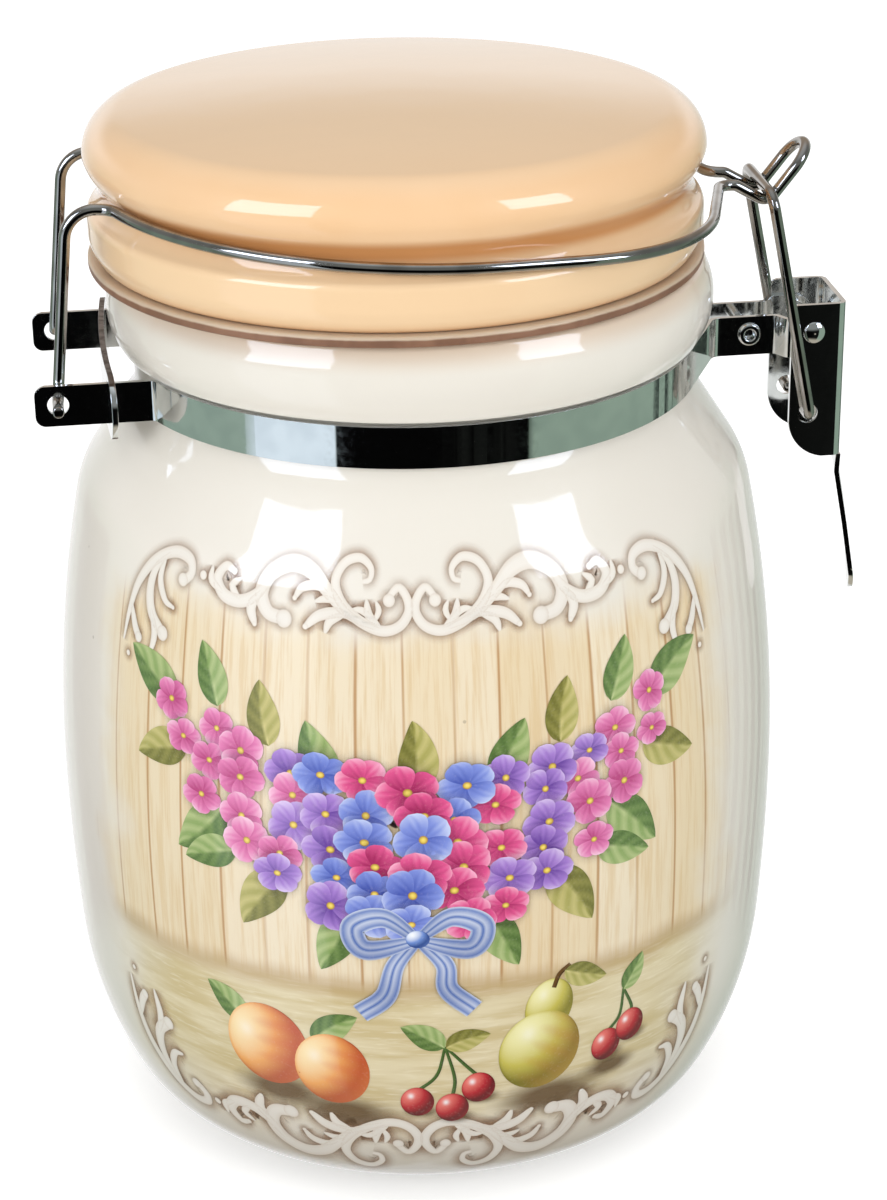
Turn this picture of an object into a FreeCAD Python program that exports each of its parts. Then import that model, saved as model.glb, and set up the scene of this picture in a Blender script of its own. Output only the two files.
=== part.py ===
"""Ceramic storage jar with a domed lid, a rubber seal and a wire clip closure.

Millimetres, +Z up.  The origin is on the jar's axis, in the plane of its foot.
The picture side of the jar faces -Y, the hinge is at -X and the clasp at +X.

Every driving dimension is a cell of the sheet "sizes".  The small class Size
carries a number together with the same sum written for FreeCAD, so each
sketch is drawn where it belongs and stays bound to the sheet.
"""
import FreeCAD, Part

import math
import os

import Sketcher

Vector = FreeCAD.Vector

os.makedirs("parts", exist_ok=True)
doc = FreeCAD.newDocument("clip_top_jar")

# ---------------------------------------------------------------- the sizes
# A number drives the jar.  A text is a sum over the numbers, so that the neck,
# the seal, the lid and the clip follow the pot when the pot changes.
SIZES = [
    # pot: the outside is a chain of arcs that run smoothly into each other
    ("belly_radius", 52.0),
    ("belly_curve_low", 318.0), ("belly_turn_low", 4.47),
    ("side_curve", 54.2), ("side_turn", 26.1),
    ("heel_curve", 14.9), ("heel_turn", 63.3),
    ("belly_curve_top", 208.7), ("belly_turn_top", 11.47),
    ("shoulder_curve", 15.1), ("shoulder_turn", 32.8),
    ("heel_rise", 2.939), ("heel_to_foot", 5.785),
    ("foot_ring", 5.2), ("foot_recess", 1.4), ("wall", 4.6), ("floor_top", 6.6),
    ("belly_height", "heel_rise + heel_curve * (sin(heel_turn * 1 deg) - sin(side_turn * 1 deg))"
     " + side_curve * (sin(side_turn * 1 deg) - sin(belly_turn_low * 1 deg))"
     " + belly_curve_low * sin(belly_turn_low * 1 deg)"),
    ("foot_radius", "belly_radius - belly_curve_low * (1 - cos(belly_turn_low * 1 deg))"
     " - side_curve * (cos(belly_turn_low * 1 deg) - cos(side_turn * 1 deg))"
     " - heel_curve * (cos(side_turn * 1 deg) - cos(heel_turn * 1 deg)) - heel_to_foot"),
    ("shoulder_radius", "belly_radius - belly_curve_top * (1 - cos(belly_turn_top * 1 deg))"
     " - shoulder_curve * (cos(belly_turn_top * 1 deg) - cos(shoulder_turn * 1 deg))"),
    ("shoulder_height", "belly_height + belly_curve_top * sin(belly_turn_top * 1 deg)"
     " + shoulder_curve * (sin(shoulder_turn * 1 deg) - sin(belly_turn_top * 1 deg))"),
    # neck and rim
    ("shoulder_slope", 7.026), ("neck_blend", 2.0), ("neck_wall", 4.3),
    ("neck_length", 5.719), ("rim_lip_out", 1.7), ("rim_lip_rise", 0.6),
    ("rim_out", 2.3), ("rim_rise", 9.4), ("rim_curve", 8.6), ("rim_round", 1.3),
    ("rim_round_out", 1.495), ("rim_round_rise", 1.4),
    ("neck_radius", "shoulder_radius - shoulder_slope"),
    ("mouth_radius", "neck_radius - neck_wall"),
    ("neck_corner", "shoulder_height + shoulder_slope / tan(shoulder_turn * 1 deg)"),
    ("rim_base", "neck_corner + neck_length"),
    ("rim_lip_radius", "neck_radius + rim_lip_out"), ("rim_lip", "rim_base + rim_lip_rise"),
    ("rim_shoulder_radius", "neck_radius + rim_out"), ("rim_shoulder", "rim_lip + rim_rise"),
    ("rim_top", "rim_shoulder + rim_round_rise"),
    # seal
    ("seal_gap", 0.03), ("seal_thick", 1.47), ("seal_out", 1.4), ("seal_edge", 0.441),
    ("seal_round", 0.7497),
    ("seal_radius", "rim_shoulder_radius + seal_out"),
    ("seat", "rim_top + seal_gap + seal_thick"),
    # lid
    ("lid_shift", 1.75), ("plug_slack", 2.6), ("plug_taper", 2.1), ("plug_start", 0.2),
    ("plug_depth", 3.3), ("plug_round", 0.8), ("plug_wall", 2.7), ("hollow_round", 0.7),
    ("hollow_curve", 7.5), ("roof", 5.0), ("roof_fall", 0.6),
    ("ring_out", 1.2), ("ring_round", 1.2), ("ring_curve", 4.5), ("ring_foot_in", 1.9),
    ("ring_foot_rise", 0.9), ("ring_mid_in", 0.8), ("ring_mid_rise", 3.2), ("ring_height", 5.6),
    ("lip_round", 1.6), ("lip_rise", 1.4), ("groove_in", 0.8), ("groove_height", 4.6),
    ("groove_curve", 3.39), ("brow_out", 1.0), ("brow_rise", 2.3), ("brow_curve", 6.0),
    ("lid_rise", 7.4), ("lid_curve", 383.0),
    ("plug_radius", "mouth_radius - plug_slack"), ("plug_tip_radius", "plug_radius - plug_taper"),
    ("plug_bottom", "rim_top - plug_depth"), ("hollow_radius", "plug_tip_radius - plug_wall"),
    ("lid_ring_radius", "rim_shoulder_radius + ring_out"), ("lid_lip", "seat + ring_height"),
    ("groove_bottom", "lid_lip + lip_rise"), ("groove_top", "groove_bottom + groove_height"),
    ("groove_edge_radius", "lid_ring_radius - groove_in"),
    ("lid_radius", "groove_edge_radius + brow_out"), ("lid_widest", "groove_top + brow_rise"),
    ("lid_top", "lid_widest + lid_rise"), ("hollow_top", "lid_top - roof"),
    # strip round the neck
    ("strip_height", 5.64), ("strip_thick", 0.7), ("strip_slack", 0.6), ("strip_under", 0.02),
    ("ear_half", 15.8), ("ear_bend", 1.35), ("ear_hole", 2.9), ("ear_out", 9.75),
    ("ear_tip", 3.1), ("ear_round", 1.4), ("hinge_rise", 2.96),
    ("leave_angle", 25.0), ("arm_bend", 2.0), ("arm_half", 3.2), ("rivet_out", 8.05),
    ("rivet_rise", 3.06), ("rivet_to_jog", 3.3), ("jog_bend", 0.9), ("jog_angle", 60.0),
    ("jog_step", 2.25), ("jog_to_pivot", 5.3), ("pivot_rise", 3.76), ("arm_tip", 2.7),
    ("strip_bottom", "rim_base - strip_under - strip_height"),
    ("strip_radius", "neck_radius + strip_slack + strip_thick / 2"),
    ("hinge_reach", "strip_radius + ear_out"), ("hinge_height", "strip_bottom + hinge_rise"),
    ("ear_reach", "hinge_reach + ear_tip"),
    ("rivet_reach", "strip_radius + rivet_out"), ("rivet_height", "strip_bottom + rivet_rise"),
    ("jog_start", "rivet_reach + rivet_to_jog"), ("arm_end_half", "arm_half + jog_step"),
    ("pivot_reach", "jog_start + jog_to_pivot"), ("pivot_height", "strip_bottom + pivot_rise"),
    ("arm_reach", "pivot_reach + arm_tip"),
    # keeper plate over the ears
    ("keeper_out", 3.25), ("keeper_past", 4.7), ("keeper_bow", 0.9), ("keeper_thick", 0.8),
    ("keeper_drop", 1.94), ("keeper_height", 9.0), ("slot_slack", 0.15),
    ("keeper_reach", "strip_radius + keeper_out"), ("keeper_half", "ear_half + keeper_past"),
    ("keeper_bottom", "strip_bottom - keeper_drop"),
    # rivets
    ("rivet_shank", 0.9), ("rivet_ring", 1.65), ("rivet_dome", 0.7), ("rivet_slack", 0.02),
    ("rivet_roll", 0.4), ("rivet_stand", 0.5), ("rivet_bore_depth", 0.6), ("rivet_tail", 0.15),
    ("pin_head", 1.6), ("pin_dome", 0.5), ("pin_shank", 0.95), ("pin_tail", 1.3),
    ("pin_tail_thick", 0.4), ("pin_tail_round", 0.2), ("pin_slack", 0.05),
    # lever
    ("lever_half", 6.55), ("sheet_thick", 0.7), ("lever_behind", 3.2), ("lever_ahead", 4.7),
    ("lever_above", 4.1), ("lever_below", 18.6), ("lever_fold", 1.4), ("cheek_round", 0.9),
    ("heel_reach", 4.9), ("foot_hole", 2.9), ("foot_back", 0.5), ("foot_drop", 12.0),
    ("lever_back", "pivot_reach - lever_behind"), ("lever_front", "pivot_reach + lever_ahead"),
    ("lever_top", "pivot_height + lever_above"), ("lever_low", "pivot_height - lever_below"),
    ("lever_heel", "lever_back + heel_reach"),
    ("latch_foot_reach", "pivot_reach - foot_back"),
    ("latch_foot_height", "pivot_height - foot_drop"),
    # finger tab
    ("tab_inset", 0.35), ("tab_yaw", -12.5), ("tab_turn_drop", 2.8), ("tab_turn_out", 1.25),
    ("tab_middle_drop", 10.9), ("tab_middle_out", 2.75), ("tab_bend_drop", 19.4),
    ("tab_bend_out", 4.15), ("tab_length", 22.6), ("tab_out", 4.2), ("tab_corner", 4.4),
    ("trim_past", 1.0),
    ("tab_half", "lever_half - tab_inset"), ("tab_end", "lever_low - tab_length"),
    ("tab_reach", "lever_front + tab_out"),
    # wires
    ("wire", 1.56), ("latch_half", 8.0), ("latch_bend", 2.3), ("foot_bend", 1.61),
    ("latch_foot_in", 3.4), ("bar_out", 9.65), ("bar_below", 1.2),
    ("bail_ears", 1.3), ("bail_foot_bend", 1.6), ("bail_foot_out", 4.7), ("bail_foot_rise", 3.0),
    ("bail_corner_in", 2.7), ("bail_corner_bend", 4.1), ("bail_turn_bend", 2.6),
    ("bail_rest", 0.3), ("bail_above", 1.4), ("bail_slope", 2.8), ("bail_leave", 12.0),
    ("bail_sweep", 28.0), ("bail_nose", 75.0), ("bail_nose_in", 0.85), ("bail_nose_half", 17.4),
    ("tongue_half", 3.4), ("tongue_bend", 2.2), ("tongue_dip", 30.0), ("tongue_dip_bend", 1.6),
    ("tongue_hook", 1.75), ("tongue_rise", 52.0), ("tongue_length", 4.4),
    ("latch_foot_end", "latch_half - latch_foot_in"),
    ("bar_reach", "strip_radius + bar_out"), ("bar_height", "groove_bottom - bar_below"),
    ("bail_half", "ear_half - bail_ears"), ("bail_foot_end", "bail_half + bail_foot_out"),
    ("bail_corner_reach", "hinge_reach - bail_corner_in"),
    ("bail_ring", "groove_edge_radius + bail_rest"), ("bail_centre", "groove_bottom + bail_above"),
    ("bail_nose_reach", "bail_ring - lid_shift - bail_nose_in"),
]

sheet = doc.addObject("Spreadsheet::Sheet", "sizes")
for row, (alias, entry) in enumerate(SIZES, start=1):
    sheet.set("A%d" % row, alias)
    sheet.setAlias("B%d" % row, alias)
for row, (alias, entry) in enumerate(SIZES, start=1):
    sheet.set("B%d" % row, "=" + entry if isinstance(entry, str) else str(entry))
doc.recompute()


class Size:
    """A number and the same number written as a FreeCAD expression."""

    def __init__(self, value, text):
        self.value = float(value)
        self.text = text

    def __add__(self, other):
        other = size_of(other)
        return Size(self.value + other.value, "(%s + %s)" % (self.text, other.text))

    def __sub__(self, other):
        other = size_of(other)
        return Size(self.value - other.value, "(%s - %s)" % (self.text, other.text))

    def __mul__(self, other):
        other = size_of(other)
        return Size(self.value * other.value, "(%s * %s)" % (self.text, other.text))

    def __truediv__(self, other):
        other = size_of(other)
        return Size(self.value / other.value, "(%s / %s)" % (self.text, other.text))

    def __neg__(self):
        return Size(-self.value, "(-1 * %s)" % self.text)

    def __radd__(self, other):
        return size_of(other) + self

    def __rsub__(self, other):
        return size_of(other) - self

    def __rmul__(self, other):
        return size_of(other) * self


def size_of(thing):
    """Give a Size for a plain number, or the Size itself."""
    if isinstance(thing, Size):
        return thing
    return Size(thing, repr(float(thing)))


def sine(angle):
    """Sine of an angle in degrees."""
    angle = size_of(angle)
    return Size(math.sin(math.radians(angle.value)), "sin(%s * 1 deg)" % angle.text)


def cosine(angle):
    """Cosine of an angle in degrees."""
    angle = size_of(angle)
    return Size(math.cos(math.radians(angle.value)), "cos(%s * 1 deg)" % angle.text)


def root(number):
    """Square root."""
    return Size(math.sqrt(number.value), "sqrt(%s)" % number.text)


def slant(run, rise):
    """Angle in degrees of a line that goes run along and rise across."""
    run = size_of(run)
    rise = size_of(rise)
    angle = math.degrees(math.atan2(rise.value, run.value))
    return Size(angle, "(atan2(%s; %s) / 1 deg)" % (rise.text, run.text))


class Sheet:
    """The cells of the sheet as Sizes, under their own names."""


g = Sheet()
for alias, entry in SIZES:
    setattr(g, alias, Size(float(sheet.get(alias)), "sizes.%s" % alias))


# ------------------------------------------------------------ sketch helpers
def new_body(name):
    """Start a body whose label is the node's name."""
    body = doc.addObject("PartDesign::Body", name)
    body.Label = name
    doc.recompute()
    return body


def bind(thing, path, size):
    """Bind one property of an object to a sum over the sheet."""
    size = size_of(size)
    thing.setExpression(path, size.text)


def attach(sketch, body, plane, offset=(0, 0, 0), turn=None):
    """Lay a sketch on an origin plane, moved by offset and turned about an axis."""
    roles = {part.Role: part for part in body.Origin.OriginFeatures}
    sketch.AttachmentSupport = [(roles[plane], "")]
    sketch.MapMode = "FlatFace"
    spot = [size_of(value) for value in offset]
    base = Vector(*[value.value for value in spot])
    rotation = FreeCAD.Rotation()
    if turn is not None:
        rotation = FreeCAD.Rotation(Vector(*turn[0]), turn[1].value)
    sketch.AttachmentOffset = FreeCAD.Placement(base, rotation)
    for letter, value in zip("xyz", spot):
        if value.text != "0.0":
            bind(sketch, ".AttachmentOffset.Base.%s" % letter, value)
    if turn is not None:
        bind(sketch, ".AttachmentOffset.Rotation.Angle", turn[1])


def pin(sketch, index, end, axis, size):
    """Fix one coordinate of a curve's end."""
    word = "DistanceX" if axis == 0 else "DistanceY"
    size = size_of(size)
    if size.text in ("0", "0.0"):
        sketch.addConstraint(Sketcher.Constraint("PointOnObject", index, end, -2 + axis))
        return
    number = sketch.addConstraint(Sketcher.Constraint(word, -1, 1, index, end, size.value))
    bind(sketch, "Constraints[%d]" % number, size)


def arc_between(start, stop, radius, side):
    """Arc from start to stop; side +1 turns left, -1 turns right."""
    middle = (start + stop) * 0.5
    chord = stop - start
    half = chord.Length / 2.0
    rise = math.sqrt(max(radius * radius - half * half, 0.0))
    normal = Vector(-chord.y, chord.x, 0).normalize()
    centre = middle + normal * (rise * side)
    first, last = (start, stop) if side > 0 else (stop, start)
    one = math.atan2(first.y - centre.y, first.x - centre.x)
    two = math.atan2(last.y - centre.y, last.x - centre.x)
    circle = Part.Circle(centre, Vector(0, 0, 1), radius)
    return Part.ArcOfCircle(circle, one, two)


def draw(body, name, steps, closed=True):
    """Draw a chain of lines and arcs, every corner and radius bound to the sheet.

    steps is a list of corners (x, y) or (x, y, radius, side): the last two
    describe the arc that leaves the corner for the next one.
    """
    sketch = body.newObject("Sketcher::SketchObject", name)
    count = len(steps) if closed else len(steps) - 1
    spots = []
    for step in steps:
        spots.append(Vector(size_of(step[0]).value, size_of(step[1]).value, 0))
    ends = []
    for index in range(count):
        start = spots[index]
        stop = spots[(index + 1) % len(spots)]
        step = steps[index]
        if len(step) == 2:
            sketch.addGeometry(Part.LineSegment(start, stop))
            ends.append((1, 2))
            continue
        sketch.addGeometry(arc_between(start, stop, size_of(step[2]).value, step[3]))
        ends.append((1, 2) if step[3] > 0 else (2, 1))
    for index in range(count):
        step = steps[index]
        following = (index + 1) % len(spots)
        if closed or index + 1 < count:
            sketch.addConstraint(Sketcher.Constraint(
                "Coincident", index, ends[index][1], following, ends[following][0]))
        for axis in (0, 1):
            pin(sketch, index, ends[index][0], axis, step[axis])
        if len(step) > 2:
            number = sketch.addConstraint(
                Sketcher.Constraint("Radius", index, size_of(step[2]).value))
            bind(sketch, "Constraints[%d]" % number, step[2])
    if not closed:
        for axis in (0, 1):
            pin(sketch, count - 1, ends[-1][1], axis, steps[-1][axis])
    return sketch


def circle_sketch(body, name, across, up, radius):
    """Draw one circle, its centre and radius bound to the sheet."""
    sketch = body.newObject("Sketcher::SketchObject", name)
    centre = Vector(size_of(across).value, size_of(up).value, 0)
    sketch.addGeometry(Part.Circle(centre, Vector(0, 0, 1), size_of(radius).value))
    pin(sketch, 0, 3, 0, across)
    pin(sketch, 0, 3, 1, up)
    number = sketch.addConstraint(Sketcher.Constraint("Radius", 0, size_of(radius).value))
    bind(sketch, "Constraints[%d]" % number, radius)
    return sketch


def revolve(body, name, sketch):
    """Turn a sketch once round its vertical axis."""
    feature = body.newObject("PartDesign::Revolution", name)
    feature.Profile = sketch
    feature.ReferenceAxis = (sketch, ["V_Axis"])
    feature.Angle = 360.0
    doc.recompute()
    return feature


def pad(body, name, sketch, length, middle=False):
    """Pad a sketch along its normal, or half to each side of it."""
    feature = body.newObject("PartDesign::Pad", name)
    feature.Profile = sketch
    feature.Length = size_of(length).value
    bind(feature, "Length", length)
    if middle:
        feature.Midplane = True
    doc.recompute()
    return feature


def pocket(body, name, sketch, length):
    """Cut a sketch half to each side of its plane."""
    before = body.Shape.Volume
    feature = body.newObject("PartDesign::Pocket", name)
    feature.Profile = sketch
    feature.Length = size_of(length).value
    bind(feature, "Length", length)
    feature.Midplane = True
    doc.recompute()
    if body.Shape.Volume > before - 1e-4:
        raise RuntimeError("%s of %s cuts nothing" % (name, body.Label))
    return feature


def round_edges(body, name, base, radius, chosen):
    """Round the edges of a feature that the test picks out."""
    names = []
    for index, edge in enumerate(base.Shape.Edges, start=1):
        if chosen(edge):
            names.append("Edge%d" % index)
    feature = body.newObject("PartDesign::Fillet", name)
    feature.Base = (base, names)
    feature.Radius = size_of(radius).value
    bind(feature, "Radius", radius)
    doc.recompute()
    return feature


def join_paths(body, name, paths):
    """Bind flat stretches of path, drawn in several planes, into one spine."""
    doc.recompute()
    spine = body.newObject("PartDesign::SubShapeBinder", name)
    spine.Support = [(path, ("",)) for path in paths]
    spine.MakeFace = False
    doc.recompute()
    return spine


def tube(body, name, spine, radius):
    """Run a round wire along a spine, starting square to its first edge."""
    doc.recompute()
    section = body.newObject("Sketcher::SketchObject", name + "_section")
    section.AttachmentSupport = [(spine, "Vertex1"), (spine, "Edge1")]
    section.MapMode = "NormalToEdge"
    section.addGeometry(Part.Circle(Vector(0, 0, 0), Vector(0, 0, 1), radius.value))
    section.addConstraint(Sketcher.Constraint("Coincident", 0, 3, -1, 1))
    number = section.addConstraint(Sketcher.Constraint("Radius", 0, radius.value))
    bind(section, "Constraints[%d]" % number, radius)
    doc.recompute()
    feature = body.newObject("PartDesign::AdditivePipe", name)
    feature.Profile = section
    feature.Spine = (spine, [])
    doc.recompute()
    return feature


# -------------------------------------------------------------------- the pot
def outer_chain():
    """Corners of the pot's outside, from the foot's edge up to the shoulder."""
    belly_low = (g.belly_radius - g.belly_curve_low * (1 - cosine(g.belly_turn_low)),
                 g.belly_height - g.belly_curve_low * sine(g.belly_turn_low))
    side = (belly_low[0] - g.side_curve * (cosine(g.belly_turn_low) - cosine(g.side_turn)),
            belly_low[1] - g.side_curve * (sine(g.side_turn) - sine(g.belly_turn_low)))
    heel = (side[0] - g.heel_curve * (cosine(g.side_turn) - cosine(g.heel_turn)),
            side[1] - g.heel_curve * (sine(g.heel_turn) - sine(g.side_turn)))
    top = (g.belly_radius - g.belly_curve_top * (1 - cosine(g.belly_turn_top)),
           g.belly_height + g.belly_curve_top * sine(g.belly_turn_top))
    shoulder = (top[0] - g.shoulder_curve * (cosine(g.belly_turn_top) - cosine(g.shoulder_turn)),
                top[1] + g.shoulder_curve * (sine(g.shoulder_turn) - sine(g.belly_turn_top)))
    return belly_low, side, heel, top, shoulder


def inward(spot, turn, below):
    """The point of the inside wall that faces a point of the outside."""
    lift = g.wall * sine(turn)
    return (spot[0] - g.wall * cosine(turn), spot[1] + lift if below else spot[1] - lift)


def make_jar_body():
    """Glazed pot: foot ring, belly, shoulder, straight neck and rolled rim."""
    body = new_body("jar_body")
    belly_low, side, heel, top, shoulder = outer_chain()
    lean = g.shoulder_turn
    corner = shoulder[1] + (shoulder[0] - g.neck_radius) * cosine(lean) / sine(lean)
    reach = g.neck_blend * sine(lean) / (1 + cosine(lean))
    in_shoulder = inward(shoulder, lean, False)
    in_neck = in_shoulder[1] + (in_shoulder[0] - g.mouth_radius) * cosine(lean) / sine(lean)
    in_top = inward(top, g.belly_turn_top, False)
    in_belly = inward(belly_low, g.belly_turn_low, True)
    in_side = inward(side, g.side_turn, True)
    in_heel = inward(heel, g.heel_turn, True)
    ring_inside = g.foot_radius - g.foot_ring
    steps = [
        (0.0, g.foot_recess),
        (ring_inside - g.foot_recess, g.foot_recess),
        (ring_inside, 0.0),
        (g.foot_radius, 0.0),
        (heel[0], heel[1], g.heel_curve, 1),
        (side[0], side[1], g.side_curve, 1),
        (belly_low[0], belly_low[1], g.belly_curve_low, 1),
        (g.belly_radius, g.belly_height, g.belly_curve_top, 1),
        (top[0], top[1], g.shoulder_curve, 1),
        (shoulder[0], shoulder[1]),
        (g.neck_radius + reach * sine(lean), corner - reach * cosine(lean), g.neck_blend, -1),
        (g.neck_radius, corner + reach),
        (g.neck_radius, g.rim_base),
        (g.rim_lip_radius, g.rim_lip, g.rim_curve, 1),
        (g.rim_shoulder_radius, g.rim_shoulder, g.rim_round_out, 1),
        (g.rim_shoulder_radius - g.rim_round, g.rim_top),
        (g.mouth_radius + g.rim_round, g.rim_top, g.rim_round, 1),
        (g.mouth_radius, g.rim_top - g.rim_round),
        (g.mouth_radius, in_neck),
        (in_shoulder[0], in_shoulder[1], g.shoulder_curve - g.wall, -1),
        (in_top[0], in_top[1], g.belly_curve_top - g.wall, -1),
        (g.belly_radius - g.wall, g.belly_height, g.belly_curve_low - g.wall, -1),
        (in_belly[0], in_belly[1], g.side_curve - g.wall, -1),
        (in_side[0], in_side[1], g.heel_curve - g.wall, -1),
        (in_heel[0], in_heel[1]),
        (0.0, g.floor_top),
    ]
    sketch = draw(body, "pot_section", steps)
    attach(sketch, body, "XZ_Plane")
    revolve(body, "pot", sketch)
    return body


# -------------------------------------------------------------- seal and lid
def make_lid_gasket():
    """Flat rubber ring round the lid's plug, between the rim and the lid."""
    body = new_body("lid_gasket")
    low = g.rim_top + g.seal_gap
    edge = g.seal_radius - g.seal_edge
    steps = [
        (g.plug_radius, low),
        (edge, low, g.seal_round, 1),
        (edge, g.seat),
        (g.plug_radius, g.seat),
    ]
    sketch = draw(body, "seal_section", steps)
    attach(sketch, body, "XZ_Plane")
    revolve(body, "seal", sketch)
    bind(body, ".Placement.Base.x", -g.lid_shift)
    return body


def make_lid():
    """Glazed lid: lower ring, wire groove, pillow dome, hollow plug below."""
    body = new_body("lid")
    deep = g.lid_widest - g.lid_top + g.lid_curve
    corner = ((g.lid_curve * g.lid_curve - g.lid_radius * g.lid_radius - deep * deep)
              / (2 * (g.lid_curve - g.lid_radius)))
    share = g.lid_curve / (g.lid_curve - corner)
    tangent = ((g.lid_radius - corner) * share, g.lid_top - g.lid_curve + deep * share)
    roof = g.hollow_top - g.roof_fall
    curve = g.hollow_curve
    tip = g.plug_round
    steps = [
        (0.0, g.hollow_top),
        (0.0, g.lid_top, g.lid_curve, -1),
        (tangent[0], tangent[1], corner, -1),
        (g.lid_radius, g.lid_widest, g.brow_curve, -1),
        (g.groove_edge_radius, g.groove_top, g.groove_curve, 1),
        (g.groove_edge_radius, g.groove_bottom, g.lip_round, -1),
        (g.lid_ring_radius, g.lid_lip),
        (g.lid_ring_radius, g.seat + g.ring_mid_rise, g.ring_curve, -1),
        (g.lid_ring_radius - g.ring_mid_in, g.seat + g.ring_foot_rise, g.ring_round, -1),
        (g.lid_ring_radius - g.ring_foot_in, g.seat),
        (g.plug_radius, g.seat),
        (g.plug_radius, g.rim_top - g.plug_start),
        (g.plug_tip_radius, g.plug_bottom + tip, tip, -1),
        (g.plug_tip_radius - tip, g.plug_bottom),
        (g.hollow_radius + g.hollow_round, g.plug_bottom, g.hollow_round, -1),
        (g.hollow_radius, g.plug_bottom + g.hollow_round),
        (g.hollow_radius, roof - curve, curve, 1),
        (g.hollow_radius - curve, roof),
    ]
    sketch = draw(body, "lid_section", steps)
    attach(sketch, body, "XZ_Plane")
    revolve(body, "dome", sketch)
    bind(body, ".Placement.Base.x", -g.lid_shift)
    return body


# -------------------------------------------------------- strip round the neck
def strip_edge(out, side):
    """One edge of the strip in plan, from the ear's tip to the arm's tip.

    out is how far the edge lies outside the middle of the sheet.
    """
    neck = g.strip_radius + out
    bend = g.ear_bend - out
    ear = g.ear_half + out
    ear_x = -root((neck + bend) * (neck + bend) - (ear + bend) * (ear + bend))
    share = neck / (neck + bend)
    leave = g.leave_angle
    arm = g.arm_half + out
    curl = g.arm_bend - out
    curl_x = (neck + curl - (arm + curl) * sine(leave)) / cosine(leave)
    jog_one = g.jog_bend - out
    jog_two = g.jog_bend + out
    tip = g.arm_end_half + out
    middle = g.arm_end_half - g.arm_half - 2 * g.jog_bend * (1 - cosine(g.jog_angle))
    jog_end = (g.jog_start + 2 * g.jog_bend * sine(g.jog_angle)
               + middle * cosine(g.jog_angle) / sine(g.jog_angle))
    fall = 1 - cosine(g.jog_angle)
    swing = sine(g.jog_angle)
    plan = [
        (-g.ear_reach, ear),
        (ear_x, ear, bend, -1),
        (ear_x * share, (ear + bend) * share, neck, 1),
        (neck * cosine(leave), neck * sine(leave)),
        (curl_x - curl * cosine(leave), arm + curl - curl * sine(leave), curl, -1),
        (curl_x, arm),
        (g.jog_start, arm, jog_one, -1),
        (g.jog_start + jog_one * swing, arm + jog_one * fall),
        (jog_end - jog_two * swing, tip - jog_two * fall, jog_two, 1),
        (jog_end, tip),
        (g.arm_reach, tip),
    ]
    edge = []
    for step in plan:
        spot = (step[0], step[1] * float(side))
        if len(step) > 2:
            spot += (step[2], step[3] * -side)
        edge.append(spot)
    return edge


def backwards(edge):
    """The same chain walked the other way."""
    turned = []
    for index in range(len(edge) - 1, -1, -1):
        spot = edge[index][:2]
        if index > 0 and len(edge[index - 1]) > 2:
            spot += (edge[index - 1][2], -edge[index - 1][3])
        turned.append(spot)
    return turned


def make_neck_band(name, side):
    """Half of the chromed strip with a hinge ear and a clasp arm."""
    body = new_body(name)
    outside = strip_edge(g.strip_thick / 2, side)
    inside = strip_edge(g.strip_thick / -2, side)
    sketch = draw(body, "strip_plan", outside + backwards(inside))
    attach(sketch, body, "XY_Plane", (0, 0, g.strip_bottom))
    strip = pad(body, "strip", sketch, g.strip_height)
    tip = -g.ear_reach.value
    strip = round_edges(body, "ear_corners", strip, g.ear_round,
                        lambda e: edge_at(e, 0, tip) and edge_along(e, 1))
    end = g.arm_reach.value
    round_edges(body, "arm_end", strip, g.arm_tip,
                lambda e: edge_at(e, 0, end) and edge_along(e, 1))
    holes = [
        ("ear_hole", -g.hinge_reach, g.hinge_height, g.ear_hole / 2, g.ear_half),
        ("rivet_hole", g.rivet_reach, g.rivet_height, g.rivet_shank + g.rivet_slack, g.arm_half),
        ("pin_hole", g.pivot_reach, g.pivot_height, g.pin_shank + g.rivet_slack, g.arm_end_half),
    ]
    for title, across, up, radius, depth in holes:
        ring = circle_sketch(body, title + "_ring", across, up, radius)
        attach(ring, body, "XZ_Plane", (0, 0, depth * float(-side)))
        pocket(body, title, ring, g.ear_bend * 2)
    return body


def edge_at(edge, axis, value):
    """True when both ends of an edge lie on one coordinate."""
    return all(abs(v.Point[axis] - value) < 1e-4 for v in edge.Vertexes)


def edge_along(edge, axis):
    """True when a straight edge runs along one axis."""
    if len(edge.Vertexes) < 2:
        return False
    step = edge.Vertexes[1].Point - edge.Vertexes[0].Point
    return abs(abs(step[axis]) - step.Length) < 1e-5 and step.Length > 1e-6


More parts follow.
